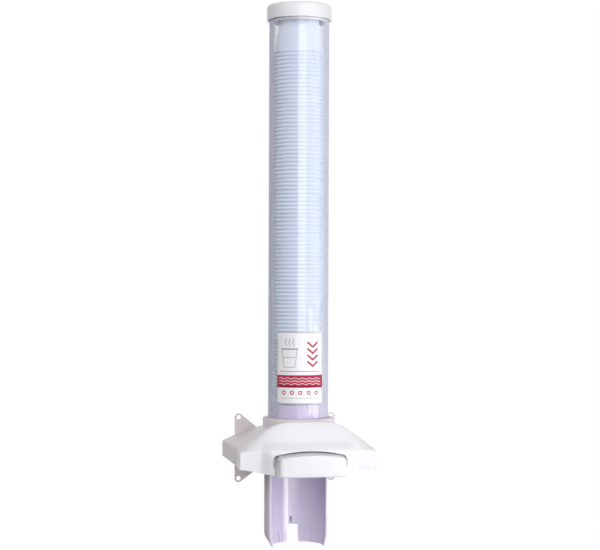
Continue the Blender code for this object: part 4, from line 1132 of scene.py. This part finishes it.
def make_springs():
    """Closely wound return springs."""
    steps = SPRING_TURNS * 24
    for word in ("left", "right"):
        low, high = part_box("return_spring_" + word)
        centre = (low + high) / 2
        radius = (high.x - low.x) / 2 - SPRING_WIRE_R
        start = low.y + SPRING_WIRE_R
        end = high.y - SPRING_WIRE_R
        rings = []
        for i in range(steps + 1):
            turn = math.tau * i / 24
            share = i / steps
            flat = SPRING_END_SHARE
            lead = smooth_step(share, -flat, flat) - 0.5 + smooth_step(share, 1.0 - flat, 1.0 + flat)
            y = start + (end - start) * (share * (1.0 - flat) + flat * lead)
            spoke = Vector((math.cos(turn), 0.0, math.sin(turn)))
            hub = Vector((centre.x, y, centre.z)) + spoke * radius
            ring = []
            for k in range(8):
                around = math.tau * k / 8
                aside = Vector((0.0, SPRING_WIRE_R * math.sin(around), 0.0))
                ring.append(hub + spoke * SPRING_WIRE_R * math.cos(around) + aside)
            rings.append(ring)
        coil = new_object("coil_" + word, solid(rings), spring_steel)
        stands_for(coil, "root", "spring_steel", "return_spring_" + word)
        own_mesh(coil)


def make_screws():
    """Pan-head screws with a cross recess and a thread, one for each screw of the frame."""
    for node in sorted(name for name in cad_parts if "_screw_" in name):
        low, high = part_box(node)
        centre = (low + high) / 2
        length = max(high.z - low.z, high.y - low.y)
        head_r = (high.x - low.x) / 2
        line = [(0.0, 0.0), (head_r * 0.55, 0.05 * MM), (head_r * 0.85, 0.35 * MM), (head_r, 0.95 * MM)]
        line += [(head_r, SCREW_HEAD), (SCREW_THREAD_R, SCREW_HEAD)]
        z = SCREW_HEAD + 0.6 * MM
        while z < length - 1.6 * MM:
            line += [(SCREW_CORE_R, z), (SCREW_THREAD_R, z + 0.3 * MM), (SCREW_CORE_R, z + 0.6 * MM)]
            z += SCREW_PITCH
        line += [(0.9 * MM, length - 1.2 * MM), (0.0, length)]
        screw = new_object("zinc_" + node, turned(line, 32), steel)
        reach, width, depth = RECESS
        for long, short in ((reach, width), (width, reach)):
            cross = rectangle(-long / 2, long / 2, -short / 2, short / 2)
            boolean(screw, "DIFFERENCE", prism(cross, "Z", -MM, depth))
        screw.location = (centre.x, centre.y, low.z)
        if high.y - low.y == length:
            screw.location = (centre.x, high.y, centre.z)
            screw.rotation_euler = (math.radians(90.0), 0.0, 0.0)
        stands_for(screw, "button" if node.startswith("button") else "root", "screw_steel", node)


def finish_node(node, finish, bevel):
    """A CAD node that keeps its shape gets its material and soft edges."""
    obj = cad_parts[node]
    obj.data.materials.clear()
    obj.data.materials.append(finish)
    soft_edges(obj, bevel, 40.0)


def area_light(name, at, look_at, width, height, power, glossy=True):
    """A soft box. One that isn't glossy lights the object but isn't reflected in it."""
    data = bpy.data.lights.new(name, "AREA")
    data.shape = "RECTANGLE"
    data.size = width
    data.size_y = height
    data.energy = power
    lamp = bpy.data.objects.new(name, data)
    lamp.location = at
    aim = Vector(look_at) - Vector(at)
    lamp.rotation_euler = aim.to_track_quat("-Z", "Y").to_euler()
    bpy.context.scene.collection.objects.link(lamp)
    lamp.visible_camera = False
    lamp.visible_glossy = glossy


def white_for_the_camera(tree, lit, white_shade, output):
    """Camera, glossy and transmission rays see plain white; rays that light the object don't."""
    path = add_node(tree, "LightPath")
    seen = path.outputs["Is Camera Ray"]
    for kind in ("Is Glossy Ray", "Is Transmission Ray"):
        either = add_node(tree, "Math")
        either.operation = "MAXIMUM"
        link(tree, seen, either.inputs[0])
        link(tree, path.outputs[kind], either.inputs[1])
        seen = either.outputs[0]
    surface = blend(tree, seen, lit, white_shade)
    link(tree, surface.outputs[0], tree.nodes[output].inputs["Surface"])


def make_stage():
    world = bpy.data.worlds.new("studio")
    bpy.context.scene.world = world
    world.use_nodes = True
    tree = world.node_tree
    dim = fill(tree.nodes["Background"], Color=WHITE, Strength=AMBIENT)
    bright = add_node(tree, "Background", Color=WHITE, Strength=1.0)
    white_for_the_camera(tree, dim, bright, "World Output")

    paper, tree, grey = new_material("floor_paper")
    fill(grey, Base_Color=srgb(120, 116, 122), Roughness=0.9)
    white_for_the_camera(tree, grey, add_node(tree, "Emission", Strength=1.0), "Material Output")
    bm = bmesh.new()
    bmesh.ops.create_grid(bm, x_segments=1, y_segments=1, size=4.0)
    bmesh.ops.translate(bm, verts=bm.verts, vec=(0.0, 0.0, FLOOR_Z))
    floor = new_object("floor", bm, paper)

    area_light("key", (0.04, -2.1, 0.42), (0.04, AXIS.y, 0.42), 1.13, 1.4, KEY_POWER)
    area_light("front_right", (1.5, -1.55, 0.25), (0.0, AXIS.y, 0.25), 2.4, 1.9, FRONT_RIGHT_POWER)
    area_light("low_right", (1.4, -0.9, -0.45), (0.0, AXIS.y, 0.0), 0.8, 0.8, LOW_RIGHT_POWER)
    area_light("streak", (1.0, -1.43, -0.27), (0.0, AXIS.y, -0.04), 0.26, 0.5, STREAK_POWER)
    area_light("overhead", (-0.1, -1.5, 1.9), (0.0, AXIS.y, 0.15), 1.6, 1.2, OVERHEAD_POWER)
    area_light("left", (-1.35, -0.85, 0.95), (0.0, AXIS.y, 0.2), 0.8, 0.8, LEFT_POWER, False)
    for side in (-1, 1):
        area_light("back", (side * 0.35, 1.9, 0.4), (0.0, 0.0, 0.15), 0.6, 1.5, BACK_POWER, False)


def make_camera():
    data = bpy.data.cameras.new("camera")
    data.lens = CAMERA_LENS
    data.sensor_width = 36.0
    data.shift_y = CAMERA_SHIFT_Y
    camera = bpy.data.objects.new("camera", data)
    camera.location = CAMERA_AT
    camera.rotation_euler = (math.radians(90.0), math.radians(CAMERA_ROLL), math.radians(CAMERA_TURN))
    bpy.context.scene.collection.objects.link(camera)
    bpy.context.scene.camera = camera


make_camera()
make_stage()
finish_node("gate_frame", inner_grey, 0.2 * MM)
finish_node("shuttle_gate", inner_grey, 0.15 * MM)
finish_node("spring_rod_left", steel, 0.15 * MM)
finish_node("spring_rod_right", steel, 0.15 * MM)
make_cover()
make_button()
make_housing()
make_chute()
make_springs()
make_screws()
make_cups()
make_tube()
make_cap()
make_sleeve()
make_sticker()
bpy.context.scene.view_settings.view_transform = "Standard"
